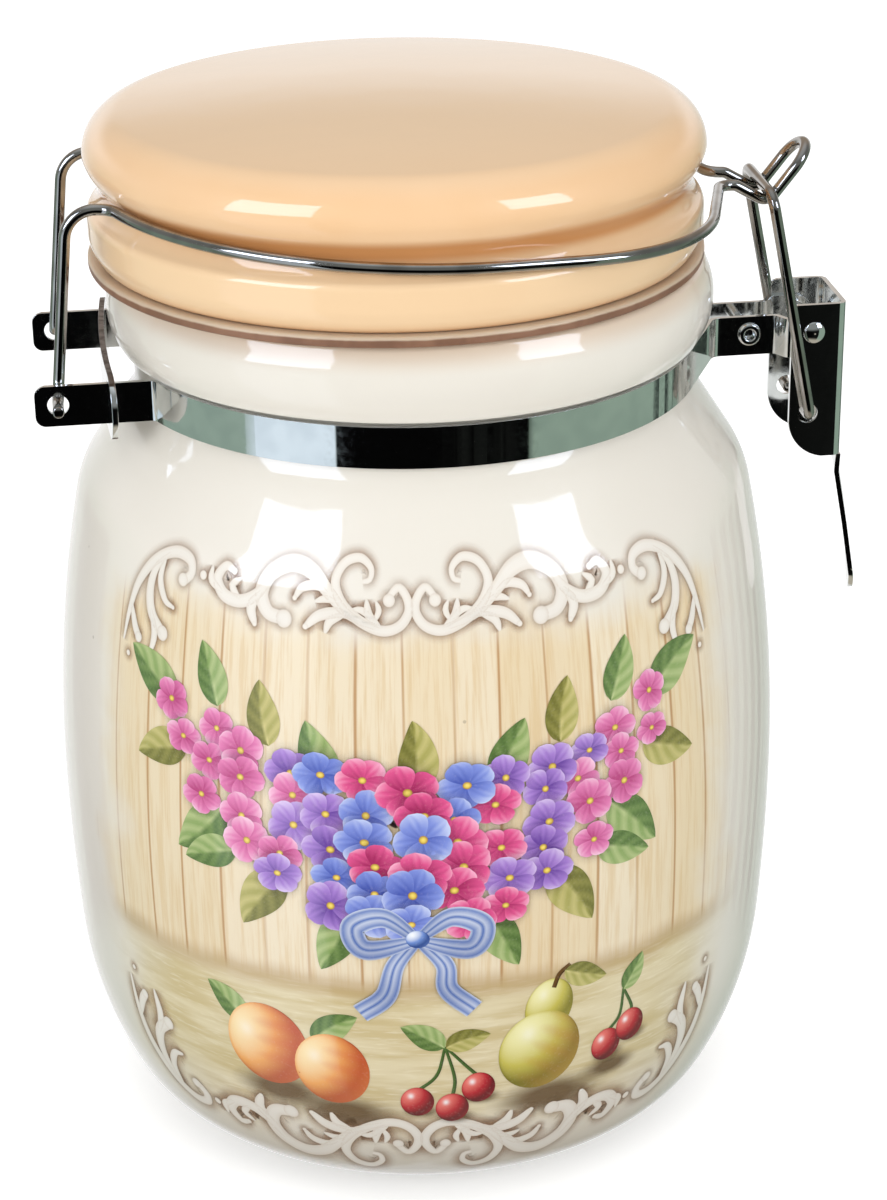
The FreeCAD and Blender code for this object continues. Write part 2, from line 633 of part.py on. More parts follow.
# --------------------------------------------------------------- keeper plate
def make_hinge_keeper():
    """Bowed plate with two slots, pushed over the ears from behind."""
    body = new_body("hinge_keeper")
    bow = g.keeper_bow
    curve = (g.keeper_half * g.keeper_half + bow * bow) / (2 * bow)
    half = g.keeper_thick / 2
    edge_x = -(g.keeper_reach - bow)
    steps = [
        (edge_x - half, g.keeper_half, curve + half, 1),
        (edge_x - half, -g.keeper_half),
        (edge_x + half, -g.keeper_half, curve - half, -1),
        (edge_x + half, g.keeper_half),
    ]
    sketch = draw(body, "plate_plan", steps)
    attach(sketch, body, "XY_Plane", (0, 0, g.keeper_bottom))
    plate = pad(body, "plate", sketch, g.keeper_height)
    far = g.keeper_half.value
    round_edges(body, "plate_ends", plate, g.keeper_height * 0.46,
                lambda e: (edge_at(e, 1, far) or edge_at(e, 1, -far)) and edge_along(e, 0))
    wide = g.strip_thick / 2 + g.slot_slack
    low = g.strip_bottom - g.slot_slack
    high = g.strip_bottom + g.strip_height + g.slot_slack
    for title, side in (("front_slot", -1.0), ("back_slot", 1.0)):
        near = g.ear_half * side - wide
        far_side = g.ear_half * side + wide
        steps = [(near, low), (far_side, low), (far_side, high), (near, high)]
        slot = draw(body, title + "_outline", steps)
        attach(slot, body, "YZ_Plane", (0, 0, -g.keeper_reach))
        pocket(body, title, slot, g.keeper_thick * 8)
    return body


# --------------------------------------------------------------------- rivets
def make_band_rivet():
    """Semi-tubular rivet: rolled ring at the front, low dome at the back."""
    body = new_body("band_rivet")
    face = g.arm_half + g.strip_thick / 2 + g.rivet_slack
    shank = g.rivet_shank
    ring = g.rivet_ring
    head = ring + g.rivet_tail
    rise = g.rivet_dome
    roll = g.rivet_roll
    stand = face + g.rivet_stand
    bore = shank * 0.85
    steps = [
        (0.0, g.rivet_bore_depth - face + g.rivet_tail),
        (bore, g.rivet_bore_depth - face),
        (bore, g.rivet_tail - stand),
        (shank, -stand),
        (ring - roll, -stand, roll, 1),
        (ring, roll - stand),
        (ring, -face),
        (shank, -face),
        (shank, face),
        (head, face, (head * head + rise * rise) / (2 * rise), 1),
        (0.0, face + rise),
    ]
    sketch = draw(body, "rivet_section", steps)
    attach(sketch, body, "XY_Plane")
    revolve(body, "rivet", sketch)
    bind(body, ".Placement.Base.x", g.rivet_reach)
    bind(body, ".Placement.Base.z", g.rivet_height)
    return body


def make_lever_rivet(name, side):
    """Dome rivet through a cheek and an arm, on which the lever turns."""
    body = new_body(name)
    outside = g.lever_half + g.rivet_slack
    inside = g.arm_end_half - g.strip_thick / 2 - g.rivet_slack
    dome = g.pin_dome
    curve = (g.pin_head * g.pin_head + dome * dome) / (2 * dome)
    steps = [
        (0.0, inside - g.pin_tail_thick),
        (g.pin_tail - g.pin_tail_round, inside - g.pin_tail_thick, g.pin_tail_round, 1),
        (g.pin_tail, inside - g.pin_tail_thick + g.pin_tail_round),
        (g.pin_tail, inside),
        (g.pin_shank, inside),
        (g.pin_shank, outside),
        (g.pin_head, outside, curve, 1),
        (0.0, outside + dome),
    ]
    if side < 0:
        steps = mirrored(steps)
    sketch = draw(body, "pin_section", steps)
    attach(sketch, body, "XY_Plane")
    revolve(body, "pin", sketch)
    bind(body, ".Placement.Base.x", g.pivot_reach)
    bind(body, ".Placement.Base.z", g.pivot_height)
    return body


def mirrored(steps):
    """The same outline on the other side of the first axis."""
    turned = []
    for step in steps:
        spot = (step[0], -size_of(step[1]))
        if len(step) > 2:
            spot += (step[2], -step[3])
        turned.append(spot)
    return turned


# ---------------------------------------------------------------------- lever
def make_latch_lever():
    """Folded sheet lever: two cheeks, a web in front of them, a finger tab."""
    body = new_body("latch_lever")
    make_tab(body)
    fold = g.lever_fold
    thick = g.sheet_thick
    half = g.lever_half
    back = g.lever_back
    front = g.lever_front
    # the folded channel in plan, open towards the jar
    steps = [
        (back, -half),
        (front - fold, -half, fold, 1),
        (front, -half + fold),
        (front, half - fold, fold, 1),
        (front - fold, half),
        (back, half),
        (back, half - thick),
        (front - fold, half - thick, fold - thick, -1),
        (front - thick, half - fold),
        (front - thick, fold - half, fold - thick, -1),
        (front - fold, thick - half),
        (back, thick - half),
    ]
    sketch = draw(body, "channel_plan", steps)
    attach(sketch, body, "XY_Plane", (0, 0, g.lever_low))
    block = pad(body, "channel", sketch, g.lever_top - g.lever_low)
    left = back.value
    top = g.lever_top.value
    round_edges(body, "cheek_corners", block, g.cheek_round,
                lambda e: edge_at(e, 0, left) and edge_at(e, 2, top) and edge_along(e, 1))
    # the cheeks' rounded heel
    past = g.trim_past
    heel = g.heel_reach + g.cheek_round
    steps = [
        (back - past, g.lever_low - past),
        (g.lever_heel, g.lever_low - past),
        (g.lever_heel, g.lever_low, heel, -1),
        (back, g.lever_low + heel),
        (back - past, g.lever_low + heel),
    ]
    trim = draw(body, "heel_outline", steps)
    attach(trim, body, "XZ_Plane")
    pocket(body, "heel_trim", trim, half * 3)
    holes = [
        ("pivot_hole", g.pivot_reach, g.pivot_height, g.pin_shank + g.pin_slack),
        ("foot_hole", g.latch_foot_reach, g.latch_foot_height, g.foot_hole / 2),
    ]
    for title, across, up, radius in holes:
        ring = circle_sketch(body, title + "_ring", across, up, radius)
        attach(ring, body, "XZ_Plane")
        pocket(body, title, ring, half * 3)
    return body


def make_tab(body):
    """Finger tab: the web runs on below the cheeks, turns a little and leans out."""
    thick = g.sheet_thick
    stations = [
        (0.0, 0.0, None),
        (g.tab_turn_drop, g.tab_turn_out, ((0, 0, 1), g.tab_yaw)),
        (g.tab_middle_drop, g.tab_middle_out, ((0, 0, 1), g.tab_yaw)),
        (g.tab_bend_drop, g.tab_bend_out, ((0, 0, 1), g.tab_yaw)),
        (g.tab_length, g.tab_out, ((0, 0, 1), g.tab_yaw)),
    ]
    sections = []
    for number, (drop, out, turn) in enumerate(stations):
        steps = [
            (thick / -2, -g.tab_half),
            (thick / 2, -g.tab_half),
            (thick / 2, g.tab_half),
            (thick / -2, g.tab_half),
        ]
        section = draw(body, "tab_section_%d" % number, steps)
        attach(section, body, "XY_Plane", (g.lever_front - thick / 2 + out, 0, g.lever_low - drop), turn)
        sections.append(section)
    doc.recompute()
    tab = body.newObject("PartDesign::AdditiveLoft", "tab")
    tab.Profile = sections[0]
    tab.Sections = sections[1:]
    tab.Ruled = True
    doc.recompute()
    half = g.tab_half * cosine(g.tab_yaw)
    corner = g.tab_corner
    past = g.trim_past
    low = g.tab_end - past
    for title, side in (("front_corner", -1.0), ("back_corner", 1.0)):
        steps = [
            (side * half, g.tab_end + corner, corner, int(-side)),
            (side * (half - corner), g.tab_end),
            (side * (half - corner), low),
            (side * (half + past), low),
            (side * (half + past), g.tab_end + corner),
        ]
        trim = draw(body, title + "_outline", steps)
        attach(trim, body, "YZ_Plane", (0, 0, g.tab_reach))
        pocket(body, title, trim, g.tab_out * 2)


# ---------------------------------------------------------------------- wires
def make_latch_wire():
    """Bent wire: bar over the tongue, two legs, two feet in the lever."""
    body = new_body("latch_wire")
    run = g.bar_reach - g.latch_foot_reach
    rise = g.bar_height - g.latch_foot_height
    long = root(run * run + rise * rise)
    lean = slant(rise, run)
    half = g.latch_half
    bend = g.latch_bend
    foot = g.foot_bend
    steps = [
        (-g.latch_foot_end, 0.0),
        (foot - half, 0.0, foot, -1),
        (-half, foot),
        (-half, long - bend, bend, -1),
        (-(half - bend), long),
        (half - bend, long, bend, -1),
        (half, long - bend),
        (half, foot, foot, -1),
        (half - foot, 0.0),
        (g.latch_foot_end, 0.0),
    ]
    spine = draw(body, "latch_path", steps, closed=False)
    attach(spine, body, "YZ_Plane", (0, g.latch_foot_height, g.latch_foot_reach),
           ((1, 0, 0), lean))
    tube(body, "latch", spine, g.wire / 2)
    return body


def make_lid_bail():
    """Bent wire: feet in the ears, legs, loop in the lid's groove, tongue."""
    body = new_body("lid_bail")
    slope = g.bail_slope
    shift = -g.lid_shift / cosine(slope)
    turn = g.bail_turn_bend
    wide = g.bail_ring + turn
    depth = g.bail_half + turn
    turn_x = shift - root(wide * wide - depth * depth)
    plane_z = g.bail_centre + g.bail_corner_reach * sine(slope) / cosine(slope)
    lean = slant(plane_z - g.hinge_height, g.bail_corner_in)
    # corner between the leg and the sloping plane of the loop
    open_angle = 90 - lean + slope
    tangent = g.bail_corner_bend * sine(open_angle) / (1 + cosine(open_angle))
    loop_steps = loop_path(shift, turn_x, wide)
    halves = []
    for title, side in (("front", -1), ("back", 1)):
        paths = foot_and_leg(body, title, side, lean, plane_z, tangent, turn_x)
        steps = loop_steps if side < 0 else mirrored(loop_steps)
        loop = draw(body, title + "_loop_path", steps, closed=False)
        attach(loop, body, "XY_Plane", (0, 0, g.bail_centre), ((0, 1, 0), slope))
        halves.append(paths + [loop])
    front, tip, back = tongue_paths(body)
    spine = join_paths(body, "bail_path", halves[0] + [front, tip, back] + halves[1][::-1])
    tube(body, "bail", spine, g.wire / 2)
    return body


def foot_and_leg(body, title, side, lean, plane_z, tangent, turn_x):
    """Paths of one foot through an ear and of its leg, up to the loop's plane."""
    bend = g.bail_foot_bend
    half = g.bail_half
    steps = [
        (side * g.bail_foot_end, 0.0),
        (side * (half + bend), 0.0, bend, -side),
        (side * half, bend),
        (side * half, bend + g.bail_foot_rise),
    ]
    foot = draw(body, title + "_foot_path", steps, closed=False)
    attach(foot, body, "YZ_Plane", (0, g.hinge_height, -g.hinge_reach), ((1, 0, 0), lean))
    rise = bend + g.bail_foot_rise
    corner_x = -g.bail_corner_reach
    slope = g.bail_slope
    steps = [
        (-g.hinge_reach + rise * sine(lean), g.hinge_height + rise * cosine(lean)),
        (corner_x - tangent * sine(lean), plane_z - tangent * cosine(lean),
         g.bail_corner_bend, -1),
        (corner_x + tangent * cosine(slope), plane_z - tangent * sine(slope)),
        (turn_x * cosine(slope), g.bail_centre - turn_x * sine(slope)),
    ]
    leg = draw(body, title + "_leg_path", steps, closed=False)
    attach(leg, body, "XZ_Plane", (0, 0, half * float(-side)))
    return [foot, leg]


def loop_path(shift, turn_x, wide):
    """Front half of the loop in plan: groove, straight run, sweep, nose."""
    ring = g.bail_ring
    share = ring / wide
    leave = g.bail_leave
    nose = g.bail_nose
    leave_spot = (shift + ring * sine(leave), -ring * cosine(leave))
    # where the straight run and the nose line would meet
    slope_one = sine(leave) / cosine(leave)
    slope_two = sine(nose) / cosine(nose)
    nose_x = g.bail_nose_reach
    nose_y = -g.bail_nose_half
    meet_x = ((nose_y - leave_spot[1] + slope_one * leave_spot[0] - slope_two * nose_x)
              / (slope_one - slope_two))
    meet_y = leave_spot[1] + slope_one * (meet_x - leave_spot[0])
    between = nose - leave
    back = g.bail_sweep * sine(between) / (1 + cosine(between))
    bend = g.tongue_bend
    # the nose line bends into the tongue's straight leg
    gap = -g.tongue_half - nose_y
    corner_x = nose_x + gap / slope_two
    reach = bend * sine(nose) / (1 + cosine(nose))
    return [
        (turn_x, -g.bail_half, g.bail_turn_bend, -1),
        (shift + (turn_x - shift) * share, -(g.bail_half + g.bail_turn_bend) * share, ring, 1),
        leave_spot,
        (meet_x - back * cosine(leave), meet_y - back * sine(leave), g.bail_sweep, 1),
        (meet_x + back * cosine(nose), meet_y + back * sine(nose)),
        (corner_x - reach * cosine(nose), -g.tongue_half - reach * sine(nose), bend, -1),
        (corner_x + reach, -g.tongue_half),
    ]


def tongue_paths(body):
    """Tongue: two legs dip, hook upward under the latch bar and join in a U."""
    steps = loop_path(-g.lid_shift / cosine(g.bail_slope), -g.lid_radius, g.bail_ring)
    start_u = steps[-1][0]
    slope = g.bail_slope
    start = (start_u * cosine(slope), g.bail_centre - start_u * sine(slope))
    dip = g.tongue_dip
    hook = g.tongue_hook
    rise = g.tongue_rise
    bar = (g.bar_reach, g.bar_height)
    # the hook is an arc round the bar; the dip line meets it from the loop side
    low = (bar[0] - hook * sine(dip), bar[1] - hook * cosine(dip))
    out = (bar[0] + hook * sine(rise), bar[1] - hook * cosine(rise))
    tip = (out[0] + g.tongue_length * cosine(rise), out[1] + g.tongue_length * sine(rise))
    bend = g.tongue_dip_bend
    # the line from the loop plane and the dip line cross here
    slope_one = -sine(slope) / cosine(slope)
    slope_two = -sine(dip) / cosine(dip)
    meet_x = ((low[1] - start[1] + slope_one * start[0] - slope_two * low[0])
              / (slope_one - slope_two))
    meet_z = start[1] + slope_one * (meet_x - start[0])
    between = dip - slope
    back = bend * sine(between) / (1 + cosine(between))
    legs = []
    for title, side in (("front", -1), ("back", 1)):
        steps = [
            start,
            (meet_x - back * cosine(slope), meet_z + back * sine(slope), bend, -1),
            (meet_x + back * cosine(dip), meet_z - back * sine(dip)),
            (low[0], low[1], hook, 1),
            out,
            tip,
        ]
        leg = draw(body, title + "_tongue_path", steps, closed=False)
        attach(leg, body, "XZ_Plane", (0, 0, g.tongue_half * float(-side)))
        legs.append(leg)
    steps = [
        (0.0, -g.tongue_half, g.tongue_half, 1),
        (g.tongue_half, 0.0, g.tongue_half, 1),
        (0.0, g.tongue_half),
    ]
    end = draw(body, "tongue_tip_path", steps, closed=False)
    attach(end, body, "XY_Plane", (tip[0], 0, tip[1]), ((0, 1, 0), -rise))
    return legs[0], end, legs[1]


# ------------------------------------------------------------- build and write
BODIES = [
    make_jar_body(),
    make_lid_gasket(),
    make_lid(),
    make_neck_band("neck_band_front", -1),
    make_neck_band("neck_band_back", 1),
    make_hinge_keeper(),
    make_band_rivet(),
    make_lever_rivet("lever_rivet_front", -1),
    make_lever_rivet("lever_rivet_back", 1),
    make_latch_lever(),
    make_latch_wire(),
    make_lid_bail(),
]
doc.recompute()

for thing in doc.Objects:
    for word in thing.State:
        if word in ("Invalid", "Error"):
            raise RuntimeError("%s is %s" % (thing.Label, word))
for body in BODIES:
    shape = body.Shape
    if shape.isNull() or not shape.isValid() or len(shape.Solids) != 1:
        raise RuntimeError("%s has no single valid solid" % body.Label)
for body in BODIES:
    body.Shape.exportStep("parts/%s.step" % body.Label)
    box = body.Shape.BoundBox
    print("%-18s %9.2f mm3  x %7.2f %7.2f  y %7.2f %7.2f  z %7.2f %7.2f" % (
        body.Label, body.Shape.Volume,
        box.XMin, box.XMax, box.YMin, box.YMax, box.ZMin, box.ZMax))
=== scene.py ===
# %% [markdown]
# A ceramic storage jar with a wire clip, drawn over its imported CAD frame.
#
# The frame brings the twelve real parts of the jar, in metres, each riding on
# the body it moves with.  The pot, the lid, the seal and the wires are drawn
# again here as finer surfaces, because glaze and chrome show every facet.
# Each new surface is a formula over a grid of two numbers.
# %% Load the frame
import bmesh
import bpy
import numpy as np
from functools import partial
from math import atan2, copysign, cos, degrees, hypot, pi, radians, sin, sqrt, tan
from mathutils import Matrix, Vector


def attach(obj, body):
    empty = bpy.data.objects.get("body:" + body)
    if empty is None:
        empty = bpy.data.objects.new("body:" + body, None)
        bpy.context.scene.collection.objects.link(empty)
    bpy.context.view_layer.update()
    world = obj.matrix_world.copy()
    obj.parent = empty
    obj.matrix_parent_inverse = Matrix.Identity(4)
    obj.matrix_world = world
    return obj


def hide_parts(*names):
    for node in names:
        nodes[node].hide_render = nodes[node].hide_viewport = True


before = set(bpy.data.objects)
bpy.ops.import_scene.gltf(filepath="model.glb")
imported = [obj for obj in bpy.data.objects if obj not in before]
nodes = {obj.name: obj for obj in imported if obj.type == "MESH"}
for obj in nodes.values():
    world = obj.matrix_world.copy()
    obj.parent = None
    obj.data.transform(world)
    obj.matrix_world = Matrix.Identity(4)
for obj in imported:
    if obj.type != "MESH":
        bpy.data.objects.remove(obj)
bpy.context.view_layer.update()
scene = bpy.context.scene
MM = 0.001
print("parts:", sorted(nodes))

# %% [markdown]
# Colours are picked as sRGB hex values, the way a colour chart gives them.
# Cycles works in linear light, so one function turns them round.
# %% Colour helper


def hex_rgb(code):
    """sRGB hex to linear: c/12.92 up to 0.04045, else ((c + 0.055)/1.055)^2.4; alpha is 1."""
    raw = [int(code[i:i + 2], 16) / 255.0 for i in (1, 3, 5)]
    return (*(c / 12.92 if c <= 0.04045 else ((c + 0.055) / 1.055) ** 2.4 for c in raw), 1.0)


print("the middle grey #808080 is %.3f in linear light" % hex_rgb("#808080")[0])

# %% [markdown]
# A material is a small tree of nodes.  This helper adds one node of any kind,
# sets its own fields, then fills its sockets with values or with links.  The
# words below are short for nodes that always have the same setting: "mix"
# mixes two colours and "ramp" maps one range smoothly to another.
# %% Node helper
SHORT = {"mix": ("Mix", {"data_type": "RGBA"}),
         "ramp": ("MapRange", {"interpolation_type": "SMOOTHSTEP"})}


def add_node(tree, kind, *values, **named):
    """Add one node.  A kind in capitals is an operation of the Math node.

    Values fill the sockets from the top down, as the node shows them.  A name
    with a capital is a socket, and any other name is a setting.  A value may be
    a number, a hex colour, an output, or a node for the first output it shows.
    """
    full, fields = SHORT.get(kind, ("Math", {"operation": kind}) if kind.isupper() else (kind, {}))
    node = tree.nodes.new("ShaderNode" + full)
    for name, value in {**fields, **named}.items():
        if name[0].islower():
            setattr(node, name, value)
    pairs = list(zip([socket for socket in node.inputs if socket.enabled], values))
    pairs += [(node.inputs[name.replace("_", " ")], value)
              for name, value in named.items() if name[0].isupper()]
    for socket, value in pairs:
        if isinstance(value, bpy.types.Node):
            value = next(output for output in value.outputs if output.enabled)
        if isinstance(value, bpy.types.NodeSocket):
            tree.links.new(value, socket)
        else:
            socket.default_value = hex_rgb(value) if isinstance(value, str) else value
    return node


def finish(name, build, *more):
    """A material: build(add, where, ...) lays its nodes with add and returns the shader.

    Its add knows the tree already, and where is the piece's own coordinates in metres.
    """
    material = bpy.data.materials.new(name)
    material.use_nodes = True
    add = partial(add_node, material.node_tree)
    material.node_tree.nodes.clear()
    add("OutputMaterial", build(add, add("TexCoord").outputs["Object"], *more))
    print("%s: %d nodes" % (name, len(material.node_tree.nodes)))
    return material


print("short words for nodes:", sorted(SHORT))

# %% [markdown]
# Thrown and moulded ceramic is round, so the pot, lid and seal are turned from
# a profile.  The profile is a chain of straight runs and arcs, given by its
# corners as radius and height, and cut into even steps.
# %% Arcs and chains


def arc_points(start, stop, radius, side, count):
    """Points on a circular arc from start to stop, turning left (+1) or right (-1).

    The centre lies on the chord's normal at sqrt(radius^2 - (chord/2)^2).
    """
    start, stop = np.array(start, float), np.array(stop, float)
    chord = stop - start
    half = np.hypot(*chord) / 2
    normal = np.array([-chord[1], chord[0]]) / (2 * half)
    centre = (start + stop) / 2 + normal * side * sqrt(max(radius ** 2 - half ** 2, 0))
    a, b = [atan2(*(p - centre)[::-1]) for p in (start, stop)]
    if side > 0 and b < a:
        b += 2 * pi
    if side < 0 and b > a:
        b -= 2 * pi
    angle = np.linspace(a, b, count)
    return centre + radius * np.stack([np.cos(angle), np.sin(angle)], 1)


def chain(steps, spacing):
    """Walk corners (r, z) or (r, z, radius, side) and give evenly dense points."""
    rows = []
    for here, there in zip(steps[:-1], steps[1:]):
        length = hypot(there[0] - here[0], there[1] - here[1])
        count = max(int(length / spacing) + 2, 3 if len(here) > 2 else 2)
        if len(here) > 2:
            rows.append(arc_points(here[:2], there[:2], here[2], here[3], max(count, 6))[:-1])
        else:
            mix = np.linspace(0, 1, count)[:-1, None]
            rows.append(np.array(here[:2]) * (1 - mix) + np.array(there[:2]) * mix)
    rows.append(np.array([steps[-1][:2]], float))
    return np.concatenate(rows)


print("an arc of 5 points:", arc_points((1, 0), (0, 1), 1, 1, 5).round(2).tolist())

# %% Bends and lengths


def rounded(*corners):
    """Steps for chain from corners (x, y), or (x, y, radius) where the run bends.

    A bend touches both its runs at radius * tan(half its turn) from the corner.
    """
    steps = [corners[0]]
    for before, here, after in zip(corners, corners[1:], corners[2:]):
        spot, radius = np.array(here[:2]), here[2]
        one, two = spot - before[:2], after[:2] - spot
        one, two = one / np.hypot(*one), two / np.hypot(*two)
        turn = atan2(one[0] * two[1] - one[1] * two[0], one @ two)
        reach = radius * tan(abs(turn) / 2)
        steps += [(*(spot - reach * one), radius, copysign(1, turn)),
                  tuple(spot + reach * two)]
    return steps + [corners[-1][:2]]


def crossing(spot, angle, other, angle_two):
    """Where two lines meet, each y = spot_y + tan(angle) * (x - spot_x)."""
    one, two = tan(angle), tan(angle_two)
    x = (other[1] - spot[1] + one * spot[0] - two * other[0]) / (one - two)
    return x, spot[1] + one * (x - spot[0])


def run_along(path):
    """Distance from the start at every point of a path: the running sum of its steps."""
    return np.concatenate([[0], np.cumsum(np.linalg.norm(np.diff(path, axis=0), axis=1))])


print("a quarter turn at 10 mm: %.2f mm" % run_along(chain([(10, 0, 10, 1), (0, 10)], 0.1))[-1])

# %% [markdown]
# A lathe could be done with the Screw modifier, but a grid gives control over
# where the rows fall and carries a tidy UV map in millimetres.
# %% Mesh helpers
TINY = 0.0001  # a radius that closes on the axis when near points are merged


def cells(rows, columns, closed=False):
    """Corners of each cell of a grid, numbered row by row; closed joins the last column on."""
    index = np.arange(rows * columns).reshape(rows, columns)
    if closed:
        index = np.hstack([index, index[:, :1]])
    return np.stack([index[:-1, :-1], index[:-1, 1:], index[1:, 1:], index[1:, :-1]],
                    2).reshape(-1, 4)


def smooth_mesh(name, points, quads):
    """A smooth mesh from points in millimetres."""
    mesh = bpy.data.meshes.new(name)
    mesh.from_pydata((points.reshape(-1, 3) * MM).tolist(), [], quads.tolist())
    mesh.shade_smooth()
    mesh.update()
    return mesh


def settle(mesh, distance=2e-7, step=None):
    """Merge points closer than distance metres, take an extra step, turn every face outward."""
    work = bmesh.new()
    work.from_mesh(mesh)
    bmesh.ops.remove_doubles(work, verts=work.verts, dist=distance)
    if step:
        step(work)
    bmesh.ops.recalc_face_normals(work, faces=work.faces)
    work.to_mesh(mesh)
    work.free()
    mesh.shade_smooth()
    return mesh


print("cells in a grid of 3 by 4 points:", len(cells(3, 4)))

# %% Lathe and placing
UNROLL = 52.0  # the pot's widest radius: round the belly the UV map is true to size
TURNS = 256


def lathe(name, profile, centre_x=0.0):
    """Turn a closed profile (r, z) about the vertical axis.

    x = centre + r sin(angle), y = -r cos(angle), and the UV map holds
    angle * UNROLL across and the length run along the profile upwards.
    """
    angle = np.linspace(-pi, pi, TURNS + 1)
    r, z = profile[:, :1], profile[:, 1:]
    points = np.stack([centre_x + r * np.sin(angle), -r * np.cos(angle), z + 0 * angle], 2)
    mesh = smooth_mesh(name, points, cells(*points.shape[:2]))
    uv = np.stack(np.broadcast_arrays(angle * UNROLL, run_along(profile)[:, None]), 2)
    corners = np.empty(len(mesh.loops), np.int32)
    mesh.loops.foreach_get("vertex_index", corners)
    mesh.uv_layers.new(name="UVMap").data.foreach_set("uv", uv.reshape(-1, 2)[corners].ravel())
    return settle(mesh)


def link(name, mesh, material, body, *stands_for):
    """Put a finished mesh in the scene, on its body, in place of its CAD parts."""
    piece = bpy.data.objects.new(name, mesh)
    scene.collection.objects.link(piece)
    mesh.materials.append(material)
    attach(piece, body)
    if stands_for:
        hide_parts(*stands_for)
    print("%s: %d vertices on %s" % (name, len(mesh.vertices), body))
    return piece


print("one step of the lathe is %.2f mm at the belly" % (2 * pi * UNROLL / TURNS))

# %% [markdown]
# The pot's outside is a chain of arcs that run smoothly into each other: heel,
# side, the long belly curves, the shoulder, a straight neck for the strip and
# a rolled rim.  A thrown shoulder sags a little before the neck, so its cone
# flattens by four degrees over its last stretch, and a wide round leads into
# the neck.  The outside arcs moved in by the wall's thickness make the inside.
# %% Pot outside
# (radius, height) of the widest place, radius of the neck, height of the rim, radius of the foot
BELLY, NECK, RIM, FOOT_EDGE = (52.0, 54.1), 38.7, 128.8, 33.0
# radius of each arc, and how far the wall leans from upright where that arc ends
LOW_ARC, SIDE_ARC, HEEL_ARC, TOP_ARC, SHOULDER_ARC, SAG_ARC = 318.0, 54.2, 14.9, 208.7, 15.1, 45.0
LOW_LEAN, SIDE_LEAN, HEEL_LEAN, TOP_LEAN, LEAN, FLATTEST = np.radians(
    [4.47, 26.1, 63.3, 11.47, 32.8, 36.8])
# length of the cone above the shoulder's arc, and the round into the neck
CONE, NECK_ARC = 7.0, 6.0


def arc_end(start, radius, before, after, way):
    """The end of an arc: radius times the change of cosine inward, of sine up (1) or down (-1)."""
    return (start[0] - radius * (cos(before) - cos(after)),
            start[1] + way * radius * (sin(after) - sin(before)))


LOW = arc_end(BELLY, LOW_ARC, 0.0, LOW_LEAN, -1)
SIDE = arc_end(LOW, SIDE_ARC, LOW_LEAN, SIDE_LEAN, -1)
HEEL = arc_end(SIDE, HEEL_ARC, SIDE_LEAN, HEEL_LEAN, -1)
TOP = arc_end(BELLY, TOP_ARC, 0.0, TOP_LEAN, 1)
SHOULDER = arc_end(TOP, SHOULDER_ARC, TOP_LEAN, LEAN, 1)
DIP = (SHOULDER[0] - CONE * sin(LEAN), SHOULDER[1] + CONE * cos(LEAN))
FLAT = arc_end(DIP, SAG_ARC, LEAN, FLATTEST, 1)
NECK_Z = FLAT[1] + (FLAT[0] - NECK) / tan(FLATTEST)
outer_steps = [
    (FOOT_EDGE, 0.0, 0.7, 1), (33.6, 0.28), (*HEEL, HEEL_ARC, 1), (*SIDE, SIDE_ARC, 1),
    (*LOW, LOW_ARC, 1), (*BELLY, TOP_ARC, 1), (*TOP, SHOULDER_ARC, 1), SHOULDER,
    (*DIP, SAG_ARC, 1), *rounded(FLAT, (NECK, NECK_Z, NECK_ARC), (NECK, RIM))[:-1],
    (NECK, 116.9, 0.9, -1), (39.3, 117.65), (40.0, 117.95, 0.9, 1), (40.75, 118.55, 8.6, 1),
    (41.0, 127.4, 1.5, 1), (39.7, RIM),
]
outer_wall = chain(outer_steps, 0.8)
print("shoulder at %.1f mm, neck from %.1f mm" % (SHOULDER[1], NECK_Z))

# %% Pot inside and foot
# the wall, the radius of the mouth, the height of the floor and of the hollow under it
WALL, MOUTH, FLOOR_TOP, RECESS = 4.6, 34.4, 6.6, 1.4


def inset(point, lean, way):
    """Move a point of the outside in along its normal by the wall: down (-1) or up (1)."""
    return (point[0] - WALL * cos(lean), point[1] + way * WALL * sin(lean))


IN_SHOULDER = inset(SHOULDER, LEAN, -1)
inner_steps = [
    (39.7, RIM), (35.7, RIM, 1.3, 1), (MOUTH, 127.5),
    (MOUTH, IN_SHOULDER[1] + (IN_SHOULDER[0] - MOUTH) / tan(LEAN)),
    (*IN_SHOULDER, SHOULDER_ARC - WALL, -1), (*inset(TOP, TOP_LEAN, -1), TOP_ARC - WALL, -1),
    (BELLY[0] - WALL, BELLY[1], LOW_ARC - WALL, -1),
    (*inset(LOW, LOW_LEAN, 1), SIDE_ARC - WALL, -1),
    (*inset(SIDE, SIDE_LEAN, 1), HEEL_ARC - WALL, -1), inset(HEEL, HEEL_LEAN, 1),
    (TINY, FLOOR_TOP),
]
foot_steps = [(TINY, RECESS), (26.0, RECESS, 1.6, -1), (27.6, 0.5, 0.6, 1), (28.4, 0.0),
              (FOOT_EDGE, 0.0)]
pot_profile = np.concatenate([chain(foot_steps, 1.0)[:-1], outer_wall[:-1],
                              chain(inner_steps, 1.4)])
print("pot profile: %d points, widest %.1f mm" % (len(pot_profile), pot_profile[:, 0].max()))

# %% [markdown]
# A bent wire is a round section carried along a path.  The section has to keep
# its bearings while the path turns in space, so each frame is the one before
# it, turned just enough to stay square to the path.  A bevelled curve would do
# the same, but a grid lets the cut ends have their own small chamfer.
# %% Wire helpers
# sides of the section; depth of the chamfer and radii of its rows, as shares of the wire's radius
SIDES, CHAMFER, END_RINGS = 24, 0.12, np.array([1e-4, 0.82, 1.0])


